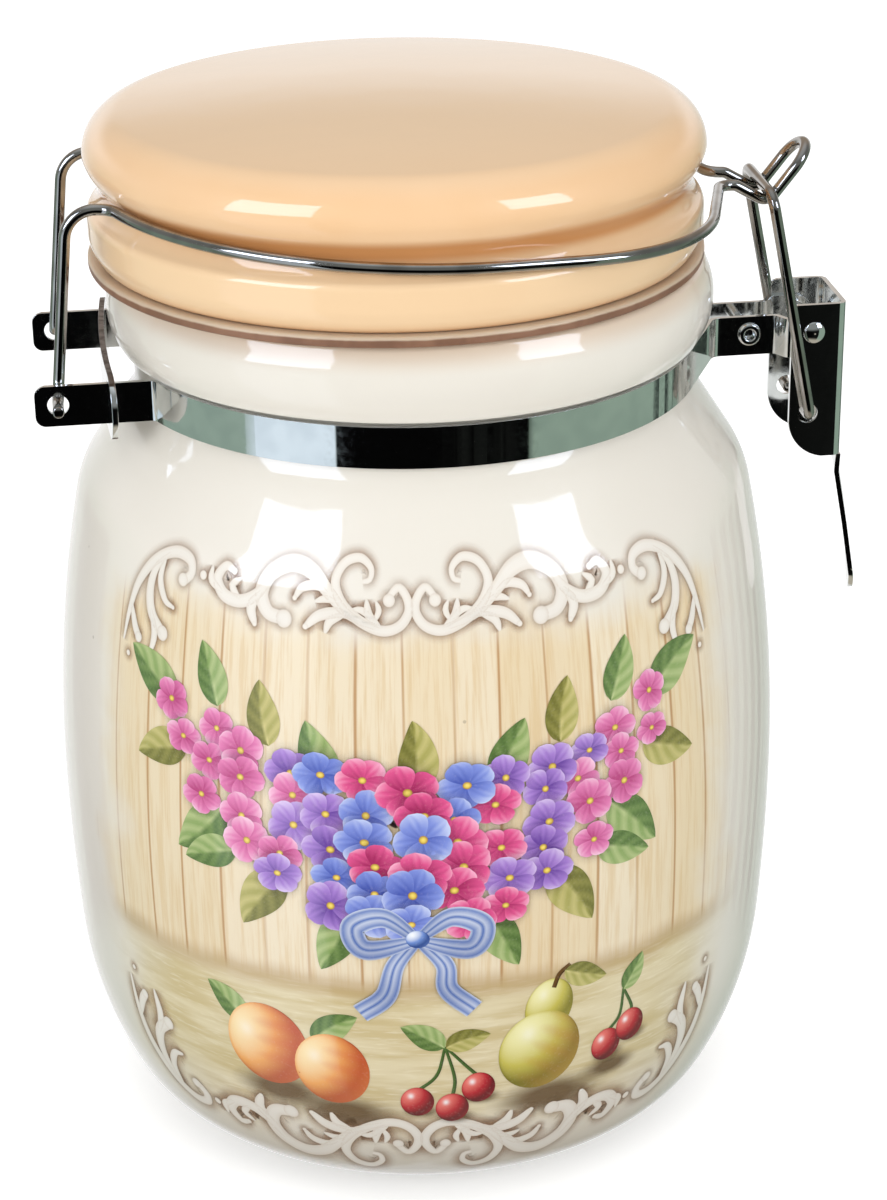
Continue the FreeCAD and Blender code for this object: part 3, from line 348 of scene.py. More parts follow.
def tube(name, path, radius):
    """Carry a circle along a path (n, 3) in millimetres and close both cut ends.

    Each row is path + radius * (cos(a) * normal + sin(a) * cross normal).  At a
    cut end three rows grow from nothing to the full radius over the chamfer.
    """
    tangent = np.gradient(path, axis=0)
    tangent /= np.linalg.norm(tangent, axis=1)[:, None]
    normal = np.cross(tangent[0], (0.31, 0.52, 0.79))
    normals = []
    for direction in tangent:
        normal = normal - direction * np.dot(normal, direction)
        normal = normal / np.linalg.norm(normal)
        normals.append(normal)
    normals = np.array(normals)
    cross = np.cross(tangent, normals)
    scale = radius * np.concatenate([END_RINGS, np.ones(len(path) - 2), END_RINGS[::-1]])
    inward = CHAMFER * radius * tangent[[0, -1]]
    spots = np.concatenate([path[[0, 0]], path[:1] + inward[:1], path[1:-1],
                            path[-1:] - inward[1:], path[[-1, -1]]])
    pick = np.concatenate([[0, 0, 0], np.arange(1, len(path) - 1), [-1, -1, -1]])
    angle = np.linspace(0, 2 * pi, SIDES, endpoint=False)[None, :, None]
    ring = np.cos(angle) * normals[pick][:, None] + np.sin(angle) * cross[pick][:, None]
    points = spots[:, None] + ring * scale[:, None, None]
    return settle(smooth_mesh(name, points, cells(*points.shape[:2], closed=True)))


def lift(plan, origin, along, up):
    """Carry plan points (a, b) to space: origin + a * along + b * up."""
    return np.array(origin, float) + plan @ np.array([along, up], float)


def whole_wire(half):
    """A wire that is the same on both sides: its front half, then the half mirrored in y."""
    back = half[::-1] * np.array([1.0, -1.0, 1.0])
    keep = 1 if np.allclose(half[-1], back[0]) else 0
    return np.concatenate([half, back[keep:]])


print("wire section: %d sides" % SIDES)

# %% [markdown]
# The latch wire is one flat loop: a bar over the tongue, two legs, and two feet
# turned in through the lever's holes.  Wire of 1.56 mm bends round a pin of
# about its own thickness, so the corners are round and never sharp.
# %% Latch wire path
# the wire's radius, the middle of the bar, the middle between the feet
WIRE, BAR, FOOT = 0.78, np.array([49.3, 0, 136.1]), np.array([55.8, 0, 103.5])
# distance of a leg and of a cut foot from the middle, and the two bends
SPREAD, FOOT_END, FOOT_BEND, BAR_BEND = 8.0, 4.6, 1.61, 2.3
leg_length = float(np.linalg.norm(BAR - FOOT))
latch_plan = chain(rounded((-FOOT_END, 0.0), (-SPREAD, 0.0, FOOT_BEND),
                           (-SPREAD, leg_length, BAR_BEND), (0.0, leg_length)), 0.35)
latch_path = whole_wire(lift(latch_plan, FOOT, (0, 1, 0), (BAR - FOOT) / leg_length))
print("latch wire: %.1f mm long" % run_along(latch_path)[-1])

# %% [markdown]
# The bail is one wire bent in several planes: a cut foot through each ear, a
# leg, a loop that lies in the lid's groove on a plane that falls towards the
# clasp, and a tongue that dips under the latch bar and turns up in a U.
# Each flat stretch is drawn in its own plane and carried to space.
# %% Bail feet and legs
# x of the lid's middle, (x, z) of the hinge, fall of the loop's plane and its height at x = 0
LID_X, HINGE, SLOPE, PLANE_Z = -1.75, (-49.4, 114.7), radians(2.8), 138.7
SHIFT = LID_X / cos(SLOPE)
# radius of the loop and of its turn into a leg, and a leg's distance from the middle
RING, TURN, HALF = 41.7, 2.6, 14.5
CORNER_X, CORNER_BEND = -46.7, 4.1
# where the cut end stands, the bend at the ear, and how high the foot's part of the leg reaches
CUT_END, EAR_BEND, LEG_START = 19.2, 1.6, 4.6


def on_slope(x):
    """Side view of a point at length x on the loop's sloping plane."""
    return (x * cos(SLOPE), PLANE_Z - x * sin(SLOPE))


turn_x = SHIFT - sqrt((RING + TURN) ** 2 - (HALF + TURN) ** 2)
corner_z = PLANE_Z - CORNER_X * tan(SLOPE)
leg_lean = atan2(CORNER_X - HINGE[0], corner_z - HINGE[1])
leg_way = np.array([sin(leg_lean), cos(leg_lean)])
foot_plan = chain(rounded((-CUT_END, 0.0), (-HALF, 0.0, EAR_BEND), (-HALF, LEG_START)), 0.35)
foot_part = lift(foot_plan, (HINGE[0], 0, HINGE[1]), (0, 1, 0), (leg_way[0], 0, leg_way[1]))
leg_plan = chain(rounded(tuple(HINGE + LEG_START * leg_way), (CORNER_X, corner_z, CORNER_BEND),
                         on_slope(turn_x)), 0.5)
leg_part = lift(leg_plan, (0, -HALF, 0), (1, 0, 0), (0, 0, 1))
print("bail leg: leans %.1f degrees" % degrees(leg_lean))

# %% Bail loop
# turn at which the wire leaves the groove, turn of the nose's line, a spot on it, two bends
LEAVE, NOSE, NOSE_SPOT, SWEEP, NOSE_BEND = radians(12), radians(75), (39.1, -17.4), 28.0, 2.2
TONGUE = 3.4  # half the tongue's width


def loop_plan():
    """From a leg round into the groove, off it in a straight run, then a sweep and the nose."""
    share = RING / (RING + TURN)
    off = (SHIFT + RING * sin(LEAVE), -RING * cos(LEAVE))
    nose_x = NOSE_SPOT[0] - (NOSE_SPOT[1] + TONGUE) / tan(NOSE)
    front = rounded(off, (*crossing(off, LEAVE, NOSE_SPOT, NOSE), SWEEP),
                    (nose_x, -TONGUE, NOSE_BEND), (BAR[0], -TONGUE))
    return [(turn_x, -HALF, TURN, -1),
            (SHIFT + (turn_x - SHIFT) * share, -(HALF + TURN) * share, RING, 1), *front[:-1]]


loop_steps = loop_plan()
loop_part = lift(chain(loop_steps, 0.6), (0, 0, PLANE_Z),
                 (cos(SLOPE), 0, -sin(SLOPE)), (0, 1, 0))
print("bail loop: %.1f mm long on one side" % run_along(loop_part)[-1])

# %% Bail tongue
# radius of the hook round the bar, length of the lip, bend into the dip
HOOK, LIP, EASE = 1.75, 4.4, 1.6
DOWN, RISE = radians(30), radians(52)


def tongue_plan():
    """Side view of the tongue: down at 30 degrees, round the bar, up at 52 degrees to the lip."""
    start = on_slope(loop_steps[-1][0])
    low = (BAR[0] - HOOK * sin(DOWN), BAR[2] - HOOK * cos(DOWN))
    out = (BAR[0] + HOOK * sin(RISE), BAR[2] - HOOK * cos(RISE))
    dip = (*crossing(start, -SLOPE, low, -DOWN), EASE)
    return [*rounded(start, dip, low)[:-1], (*low, HOOK, 1), out,
            (out[0] + LIP * cos(RISE), out[1] + LIP * sin(RISE))]


tongue_steps = tongue_plan()
tongue_part = lift(chain(tongue_steps, 0.3), (0, -TONGUE, 0), (1, 0, 0), (0, 0, 1))
tip_part = lift(arc_points((0, -TONGUE), (TONGUE, 0), TONGUE, 1, 16),
                (tongue_steps[-1][0], 0, tongue_steps[-1][1]),
                (cos(RISE), 0, sin(RISE)), (0, 1, 0))
bail_path = whole_wire(np.concatenate([foot_part[:-1], leg_part[:-1], loop_part[:-1],
                                       tongue_part[:-1], tip_part]))
print("bail: %.0f mm of wire" % run_along(bail_path)[-1])

# %% [markdown]
# The lid is slip-cast like the pot: a lower ring, a groove for the bail, and a
# pillow of a dome whose top is almost flat.  Below hangs a hollow plug.  The
# dome's edge is the one arc that meets the flat top's arc without a corner.
# %% Lid and seal profiles
SEAL_LOW = RIM + 0.03  # just clear of the rim's glaze
SEAL_HIGH = SEAL_LOW + 1.47
SEAL_IN, SEAL_OUT, SEAL_ROUND = 31.9, 42.38, 0.5
# (radius, height) where the dome turns in, the lid's height, radius of its flat top
DOME_EDGE, LID_TOP, TOP_RADIUS = (42.4, 144.2), 151.6, 383.0
deep = DOME_EDGE[1] - LID_TOP + TOP_RADIUS
crown = (TOP_RADIUS ** 2 - DOME_EDGE[0] ** 2 - deep ** 2) / (2 * (TOP_RADIUS - DOME_EDGE[0]))
crown_share = TOP_RADIUS / (TOP_RADIUS - crown)
crown_edge = ((DOME_EDGE[0] - crown) * crown_share, LID_TOP - TOP_RADIUS + deep * crown_share)
lid_profile = np.concatenate([
    chain([(TINY, 146.6), (19.5, 146.0, 7.5, -1), (27.0, 138.5), (27.0, 126.2, 0.7, 1),
           (27.7, 125.5), (28.9, 125.5, 0.8, 1), (29.7, 126.3), (31.8, 128.6),
           (31.8, SEAL_HIGH), (40.3, SEAL_HIGH)], 1.2)[:-1],
    chain([(40.3, SEAL_HIGH, 1.2, 1), (41.4, 131.2, 4.5, 1), (42.2, 133.5),
           (42.2, 135.9, 1.6, 1), (41.4, 137.3, 3.39, -1), (41.4, 141.9, 6.0, 1),
           (*DOME_EDGE, crown, 1), (*crown_edge, TOP_RADIUS, 1), (TINY, LID_TOP)], 0.5)])
seal_profile = chain([(SEAL_IN, SEAL_LOW), (42.0, SEAL_LOW, 0.45, 1),
                      (SEAL_OUT, SEAL_LOW + SEAL_ROUND),
                      (SEAL_OUT, SEAL_HIGH - SEAL_ROUND, 0.45, 1), (42.0, SEAL_HIGH),
                      (SEAL_IN, SEAL_HIGH), (SEAL_IN, SEAL_LOW)], 0.4)
print("crown radius %.2f mm, lid profile %d points" % (crown, len(lid_profile)))

# %% [markdown]
# Glazed ceramic is an opaque coloured body under a thin clear glass.  A
# Principled shader with a full coat gives both reflections; a faint bump of
# some millimetres across stands for the way glaze never lies perfectly flat.
# To the eye that is a wet gloss whose highlights waver at their edges.
# Specks of kiln dust are a second, much smaller pattern.
# %% Clear glaze
GLASS = {"Roughness": 0.35, "Specular_IOR_Level": 0.2, "Coat_Weight": 1.0, "Coat_Roughness": 0.02,
         "Coat_IOR": 1.5}


def glaze_over(add, where, colour, **more):
    """Lay glass over a colour: slow waves of about 8 mm and an orange peel of about 1 mm."""
    slow = add("TexNoise", where, Scale=120.0, Detail=1.0)
    fine = add("TexNoise", where, Scale=900.0, Detail=1.0)
    wave = add("Bump", Height=add("MULTIPLY_ADD", fine, 0.08, slow), Strength=0.22,
               Distance=0.0002)
    return add("BsdfPrincipled", Base_Color=colour, Normal=wave, Coat_Normal=wave,
               **{**GLASS, **more})


def specks(add, where, colour, dust, strength):
    """Kiln dust over a colour: one cell of 7 mm in seven holds a speck under 0.5 mm across."""
    cell = add("TexVoronoi", where, Scale=150.0)
    spot = add("LESS_THAN", cell, 0.035)
    rare = add("GREATER_THAN", add("SeparateColor", cell.outputs["Color"]), 0.86)
    mask = add("MULTIPLY", add("MULTIPLY", spot, rare), strength)
    return add("mix", mask, colour, dust)


print("glass coat: IOR %.1f, roughness %.2f" % (GLASS["Coat_IOR"], GLASS["Coat_Roughness"]))

# %% Peach glaze of the lid
# Height of the groove's dark line: glaze that pools there, and painted shade under the dome's brow.
BROW_SHADE_Z = 140.7 * MM  # where the glaze pools


def peach(add, where):
    """Peach glaze: paler on the ring; dark orange in the groove, as glaze that pools there and as
    painted shade under the dome's brow, and as painted shade where the lid sits on the seal; the
    dome's top is painted paler for the light from above.
    """
    height = add("SeparateXYZ", where).outputs["Z"]
    # Painted shade: a dark line under the dome's brow, where glaze also pools, and a dark band
    # where the lid sits on the seal.
    pooled_and_shaded = add("ramp", add("ABSOLUTE", add("SUBTRACT", height, BROW_SHADE_Z)),
                 0.0004, 0.0021, 0.9, 0.0)
    seat_shade = add("ramp", height, 0.1303, 0.1316, 0.4, 0.0)
    cloud = add("TexNoise", where, Scale=28.0, Detail=3.0)
    body = add("mix", add("ramp", cloud, 0.35, 0.7), "#EDC394", "#F1CBA1")
    # Painted light: the dome's top is paler for the light from above; the ring below is paler as
    # well.
    for mask, colour in ((add("ramp", height, 0.136, 0.139, 1.0, 0.0), "#F1D0A6"),
                         (add("ramp", height, 0.1475, 0.1512), "#F0CFA8"),
                         (add("MAXIMUM", pooled_and_shaded, seat_shade), "#CF8C50")):
        body = add("mix", mask, body, colour)
    return glaze_over(add, where, specks(add, where, body, "#A87848", 0.5))


peach_glaze = finish("peach glaze", peach)

# %% [markdown]
# The pot is cream.  A printed panel on its front shows pale boards above a
# table: this is a transfer, so its edges melt into the glaze.  Boards and
# table are plain traditional patterns, and they are worked out here from the
# angle round the pot and the height, both in millimetres.
# %% Boards and table
FACING, BOARD = -7.5, 6.6  # degrees from the front to the print's middle; a board's width in mm


def print_axes(add, where):
    """Millimetres round the pot from the print's middle, millimetres up, and the depth y."""
    x, y, z = add("SeparateXYZ", where).outputs
    angle = add("ARCTAN2", x, add("MULTIPLY", y, -1.0))
    around = add("MULTIPLY", add("SUBTRACT", angle, radians(FACING)), UNROLL)
    return around, add("MULTIPLY", z, 1.0 / MM), y


def boards(add, around, up):
    """Pale boards of 6.6 mm: a joint where the fraction of across / BOARD is near 0 or 1.

    The joints waver and fade along their length, and each board has its own tone.
    """
    flow = add("CombineXYZ", around, add("MULTIPLY", up, 0.045), 3.7)
    bend = add("TexNoise", flow, Scale=0.16, Detail=2.0)
    across = add("DIVIDE", add("MULTIPLY_ADD", bend, 2.6, around), BOARD)
    joint = add("ABSOLUTE", add("SUBTRACT", add("FRACT", across), 0.5))
    number = add("TexWhiteNoise", W=add("FLOOR", across), noise_dimensions="1D")
    grain = add("TexNoise", flow, Scale=1.5, Detail=4.0, Roughness=0.65)
    patchy = add("TexNoise", flow, Scale=0.3, Detail=1.0)
    streak = add("MULTIPLY", add("ramp", grain, 0.42, 0.66), 0.55)
    line = add("MULTIPLY", add("ramp", joint, 0.452, 0.493),
               add("ramp", patchy, 0.3, 0.6, 0.35, 0.9))
    tone = add("mix", number, "#EBDDC2", "#E5D2AE")
    tone = add("mix", streak, tone, "#D9BC8C")
    return add("mix", line, tone, "#B98D5C")


def table_top(add, around, up):
    """Straw-coloured table with soft streaks that run across."""
    flow = add("CombineXYZ", add("MULTIPLY", around, 0.12), up, 1.3)
    streak = add("TexNoise", flow, Scale=0.5, Detail=4.0)
    cloth = add("TexNoise", flow, Scale=2.6, Detail=2.0)
    tone = add("mix", add("ramp", streak, 0.35, 0.68), "#E0D3AF", "#CDBB8C")
    return add("mix", add("ramp", cloth, 0.52, 0.75, 0.0, 0.4), tone, "#EFE6CC")


print("boards on the front half: %.0f" % (pi * UNROLL / BOARD))

# %% Cream glaze of the pot
TABLE_EDGE = 41.5  # height of the table's far edge


def cream_with_panel(add, where):
    """Cream glaze with the faded panel: a painted reflection of the peach lid on the rim under the
    seal, painted shade low down, bare at the foot.
    """
    around, up, y = print_axes(add, where)
    wisp = add("TexNoise", where, Scale=90.0, Detail=3.0)
    wander = add("MULTIPLY", add("SUBTRACT", wisp, 0.5), 14.0)
    side = add("ADD", add("ABSOLUTE", around), wander)
    height = add("ADD", up, wander)
    panel = add("MULTIPLY", add("ramp", side, 43.0, 55.0, 1.0, 0.0),
                add("ramp", height, 88.0, 97.0, 1.0, 0.0))
    table_fade = add("MULTIPLY", add("ramp", side, 36.0, 56.0, 1.0, 0.0),
                     add("ramp", height, 9.0, 26.0))
    edge = add("MULTIPLY_ADD", wander, 0.2, up)
    beside = add("ABSOLUTE", add("SUBTRACT", edge, TABLE_EDGE))
    shade = add("MULTIPLY", add("ramp", beside, 0.0, 3.2, 0.5, 0.0), panel)
    flat = add("VectorMath", where, (1, 1, 0), operation="MULTIPLY")
    outside = add("ramp", add("VectorMath", flat, operation="LENGTH"), 0.0315, 0.0325)
    shown = add("MULTIPLY", add("LESS_THAN", y, 0.0), outside)
    cloud = add("TexNoise", where, Scale=20.0, Detail=2.0)
    cream = add("mix", add("ramp", cloud, 0.35, 0.7), "#E6E1D6", "#EAE5DB")
    picture = add("mix", add("ramp", edge, TABLE_EDGE - 1.0, TABLE_EDGE + 2.0),
                  add("mix", table_fade, cream, table_top(add, around, up)),
                  add("mix", panel, cream, boards(add, around, up)))
    picture = add("mix", shade, picture, "#B08D5E")
    body = add("mix", shown, cream, picture)
    foot = add("ramp", up, 0.15, 0.55, 1.0, 0.0)
    # Painted reflection: the rim under the seal is tinted peach for the lid's colour seen in its
    # glaze; the tint stays when the lid is open.
    for mask, colour in ((add("ramp", up, 124.5, 128.2, 0.0, 0.5), "#D9B48C"),
                         (foot, "#CFC6B4"),
                         # Painted shade: the glaze darkens from 16 mm downwards towards the foot.
                         (add("ramp", up, 5.0, 16.0, 0.4, 0.0), "#A59A82")):
        body = add("mix", mask, body, colour)
    return glaze_over(add, where, specks(add, where, body, "#7A6A58", 0.35),
                      Coat_Weight=add("SUBTRACT", 1.0, foot))


pot_glaze = finish("cream glaze with print", cream_with_panel)

# %% [markdown]
# Plated steel is drawn or rolled before it is plated, so fine marks run under
# the bright chrome: the eye sees a mirror that is a little soft.  The seal is
# brown rubber in two tones for the closed jar: its upper lip is painted pale and
# milky for the light that comes through it, and its brown below is the rubber's
# own colour and painted shade where it is pressed between the glazes.
# %% Chrome and rubber


def chrome(add, where, light, dark):
    """Plated steel: metallic, nearly mirror-bright, with marks finer than a millimetre."""
    marks = add("TexNoise", where, Scale=1400.0, Detail=3.0)
    slow = add("TexNoise", where, Scale=260.0, Detail=1.0)
    bump = add("Bump", Height=add("MULTIPLY_ADD", marks, 0.12, slow), Strength=0.1,
               Distance=0.00005)
    plate = add("mix", add("ramp", slow, 0.3, 0.7), light, dark)
    return add("BsdfPrincipled", Base_Color=plate, Metallic=1.0, Normal=bump,
               Roughness=add("ramp", marks, 0.3, 0.7, 0.05, 0.11))


def rubber(add, where):
    """Soft seal rubber, brown below, its upper lip painted pale for the light that comes through
    it, dusted with bloom.
    """
    height = add("SeparateXYZ", where).outputs["Z"]
    noise = add("TexNoise", where, Scale=220.0, Detail=3.0)
    level = add("MULTIPLY_ADD", add("SUBTRACT", noise, 0.5), 0.0004, height)
    body = add("mix", add("ramp", noise, 0.35, 0.65), "#7E5A44", "#8F6850")
    # Painted light: the upper lip is pale for the light that comes through the rubber.
    body = add("mix", add("ramp", level, 0.12975, 0.13005), body, "#C6B29A")
    bump = add("Bump", Height=noise, Strength=0.3, Distance=0.0001)
    return add("BsdfPrincipled", Base_Color=body, Roughness=0.42, Normal=bump,
               Subsurface_Weight=0.15, Subsurface_Scale=0.001, Subsurface_Radius=(1.0, 0.5, 0.3))


plating = finish("chrome plating", chrome, "#EEEFEE", "#E2E4E4")
wire_plating = finish("nickel-plated spring wire", chrome, "#B4B0AC", "#9C9894")
seal_rubber = finish("seal rubber", rubber)

# %% [markdown]
# Now the pieces go on their bodies: the pot rests on the jar, the lid, its seal
# and the bail swing together, and the latch wire follows the lever.
# %% Place the pieces
pot = link("pot", lathe("pot", pot_profile), pot_glaze, "jar", "jar_body")
lid = link("lid_shell", lathe("lid_shell", lid_profile, LID_X), peach_glaze, "lid", "lid")
seal = link("seal_ring", lathe("seal_ring", seal_profile, LID_X), seal_rubber, "lid", "lid_gasket")
bail = link("bail_wire", tube("bail_wire", bail_path, WIRE), wire_plating, "lid", "lid_bail")
latch = link("latch_loop", tube("latch_loop", latch_path, WIRE), wire_plating, "latch",
             "latch_wire")

# %% [markdown]
# The sheet parts keep the frame's own geometry.  A copy of each is merged and
# a small bevel takes the knife edge off, as tumbling before plating does on
# the real parts.  A mirror shows every facet, so the strips that run round the
# neck are cut every two degrees and set on their true radius.  Weighted
# normals keep the flats flat and leave the turn to the narrow edges.
# %% Round strips and sheared edges
STRIP = (NECK + 0.6, NECK + 1.3)  # radii of the strip's two faces


def cut_round(work):
    """Cut a mesh every two degrees by upright planes through the jar's axis."""
    for angle in np.radians(np.arange(0.5, 180.0, 2.0)):
        everything = list(work.verts) + list(work.edges) + list(work.faces)
        bmesh.ops.bisect_plane(work, geom=everything, dist=1e-7, plane_co=(0, 0, 0),
                               plane_no=(cos(angle), sin(angle), 0))


def true_radius(mesh):
    """Move the strip's points that lie up to 0.25 mm inside one of its radii out to it."""
    points = np.empty(len(mesh.vertices) * 3)
    mesh.vertices.foreach_get("co", points)
    points = points.reshape(-1, 3)
    distance = np.hypot(points[:, 0], points[:, 1])
    for radius in STRIP:
        near = (distance < radius * MM + 1e-6) & (distance > (radius - 0.25) * MM)
        near &= np.abs(points[:, 0]) < 0.995 * radius * MM
        points[near, :2] *= (radius * MM / distance[near])[:, None]
    mesh.vertices.foreach_set("co", points.ravel())


def shaded_cut_edge(add, where):
    """Sheared steel edge: dull where the punch cut it, and dark grey-brown as painted shade for the
    dark that these narrow faces mirror.
    """
    drag = add("TexNoise", where, Scale=900.0, Detail=2.0)
    body = add("mix", add("ramp", drag, 0.35, 0.65), "#5C4E44", "#8A7F78")
    return add("BsdfPrincipled", Base_Color=body, Metallic=1.0, Roughness=0.45)


print("strip: inner face at %.1f mm, outer at %.1f mm" % STRIP)

# %% Sheet parts with broken edges


def soften(node_name, body, is_round=False, sheared=None):
    """Copy a frame part, merge its points and round its sharp edges by 0.12 mm.

    Faces that look up or down get the sheared finish with its painted shade, where one is given.
    """
    def flatten(work):
        """Join flat triangles to faces, and cut a round part into narrow facets."""
        bmesh.ops.dissolve_limit(work, angle_limit=radians(0.5), verts=work.verts,
                                 edges=work.edges)
        if is_round:
            cut_round(work)

    source = nodes[node_name]
    mesh = source.data.copy()
    mesh.name = node_name + "_finished"
    mesh.transform(source.matrix_world)
    settle(mesh, 2e-6, flatten)
    if is_round:
        true_radius(mesh)
    mesh.materials.clear()
    piece = link(node_name + "_finished", mesh, plating, body, node_name)
    if sheared is not None:
        mesh.materials.append(sheared)
        upright = np.empty(len(mesh.polygons) * 3)
        mesh.polygons.foreach_get("normal", upright)
        level = np.abs(upright.reshape(-1, 3)[:, 2]) > 0.8
        mesh.polygons.foreach_set("material_index", level.astype(np.int32))
    bevel = piece.modifiers.new("broken edge", "BEVEL")
    bevel.width = 0.12 * MM
    bevel.segments = 2
    bevel.limit_method = "ANGLE"
    bevel.angle_limit = radians(30)
    flats = piece.modifiers.new("flats", "WEIGHTED_NORMAL")
    flats.weight = 90


for name in ("neck_band_front", "neck_band_back"):
    soften(name, "jar", is_round=True)
# Painted shade: the keeper's faces that look up or down are dark grey-brown.
soften("hinge_keeper", "jar", sheared=finish("sheared steel edge with painted shade", shaded_cut_edge))
for name in ("band_rivet", "lever_rivet_front", "lever_rivet_back"):
    soften(name, "jar")
soften("latch_lever", "lever")

# %% [markdown]
# The picture on the front is a transfer: enamel colours printed on film, slid
# onto the glaze and fired, so they sink in under the gloss.  A picture file
# would be the usual way to hold it.  Here every stroke is a thin sheet of its
# own, worked out flat in millimetres (u round the pot, v up) with a colour at
# each point, and laid on the curve of the pot.  Edges that should melt away
# get an alpha that falls to nothing.
# %% Pile of sheets
sheets = []
chance = np.random.default_rng(7)
FIRST_LAYER = 3


def lay(flat, paint, layer=None):
    """Add a sheet: flat (rows, columns, 2) in millimetres and paint (rows, columns, 4).

    Without a layer it goes one above the highest sheet that its box overlaps.
    """
    paint = np.broadcast_to(paint, flat.shape[:2] + (4,))
    a, b, c = flat[:-1, :-1], flat[:-1, 1:], flat[1:, :-1]
    turn = (b - a)[..., 0] * (c - a)[..., 1] - (b - a)[..., 1] * (c - a)[..., 0]
    if turn.sum() < 0:
        flat, paint = flat[:, ::-1], paint[:, ::-1]
    low, high = flat.min((0, 1)), flat.max((0, 1))
    if layer is None:
        under = [other["layer"] for other in sheets
                 if (other["low"] < high - 0.1).all() and (other["high"] > low + 0.1).all()]
        layer = max(under, default=FIRST_LAYER - 1) + 1
    sheets.append({"flat": flat, "paint": paint, "layer": layer, "low": low, "high": high})


def take():
    """Hand over the sheets laid so far and start an empty pile."""
    pile = list(sheets)
    sheets.clear()
    print("%d sheets, top layer %d" % (len(pile), max(sheet["layer"] for sheet in pile)))
    return pile


print("the first stroke lies on layer", FIRST_LAYER)

# %% Colours of a stroke


def tint(code):
    """Linear red, green, blue and alpha of a hex colour, as an array."""
    return np.array(hex_rgb(code))


def blend(first, second, share):
    """Mix two colours by an array of shares: first * (1 - share) + second * share."""
    share = np.clip(np.asarray(share, float), 0, 1)[..., None]
    return first * (1 - share) + second * share


def veil(colour, alpha):
    """One colour at every point of an array of alphas."""
    paint = np.broadcast_to(colour, alpha.shape + (4,)).copy()
    paint[..., 3] = alpha
    return paint


print("half of black and white is", blend(tint("#000000"), tint("#FFFFFF"), 0.5)[:3])

# %% Shapes of a stroke


def spline(points):
    """Catmull-Rom curve through a few points, resampled to even steps of about 0.35 mm."""
    p = np.array(points, float)
    p = np.vstack([2 * p[0] - p[1], p, 2 * p[-1] - p[-2]])
    t = np.linspace(0, 1, 24, endpoint=False)[None, :, None]
    a, b, c, d = [p[k:len(p) - 3 + k][:, None] for k in range(4)]
    curve = 0.5 * (2 * b + (c - a) * t + (2 * a - 5 * b + 4 * c - d) * t ** 2
                   + (3 * b - a - 3 * c + d) * t ** 3)
    curve = np.vstack([curve.reshape(-1, 2), p[-2]])
    run = run_along(curve)
    even = np.linspace(0, run[-1], max(int(run[-1] / 0.35), 8))
    return np.stack([np.interp(even, run, curve[:, k]) for k in (0, 1)], 1)


def ribbon(path, half, across):
    """Grid along a path: each row is path + across * half * (its normal)."""
    way = np.gradient(path, axis=0)
    way /= np.hypot(way[:, 0], way[:, 1])[:, None]
    side = np.stack([way[:, 1], -way[:, 0]], 1)
    return path[:, None] + side[:, None] * (half[:, None] * across[None, :])[..., None]


def disc(centre, radius, rings=6, spokes=28, squash=1.0, lean=0.0):
    """Polar grid about a centre, squashed and leant, with x and y of each point on a unit disc."""
    share = np.linspace(0.001, 1, rings)[:, None]
    angle = np.linspace(0, 2 * pi, spokes + 1)
    x, y = share * np.cos(angle), share * np.sin(angle)
    c, s = cos(radians(lean)), sin(radians(lean))
    along, up = x * radius, y * radius * squash
    return np.stack([centre[0] + c * along - s * up, centre[1] + s * along + c * up], 2), x, y


def widths(count, start, middle, end):
    """Half-widths along a stroke: a sine swell over a straight line from start to end."""
    t = np.linspace(0, 1, count)
    return start + (end - start) * t + (middle - (start + end) / 2) * np.sin(pi * t) ** 0.8


print("a 10 mm stroke has %d points" % len(spline([(0, 0), (5, 0), (10, 0)])))

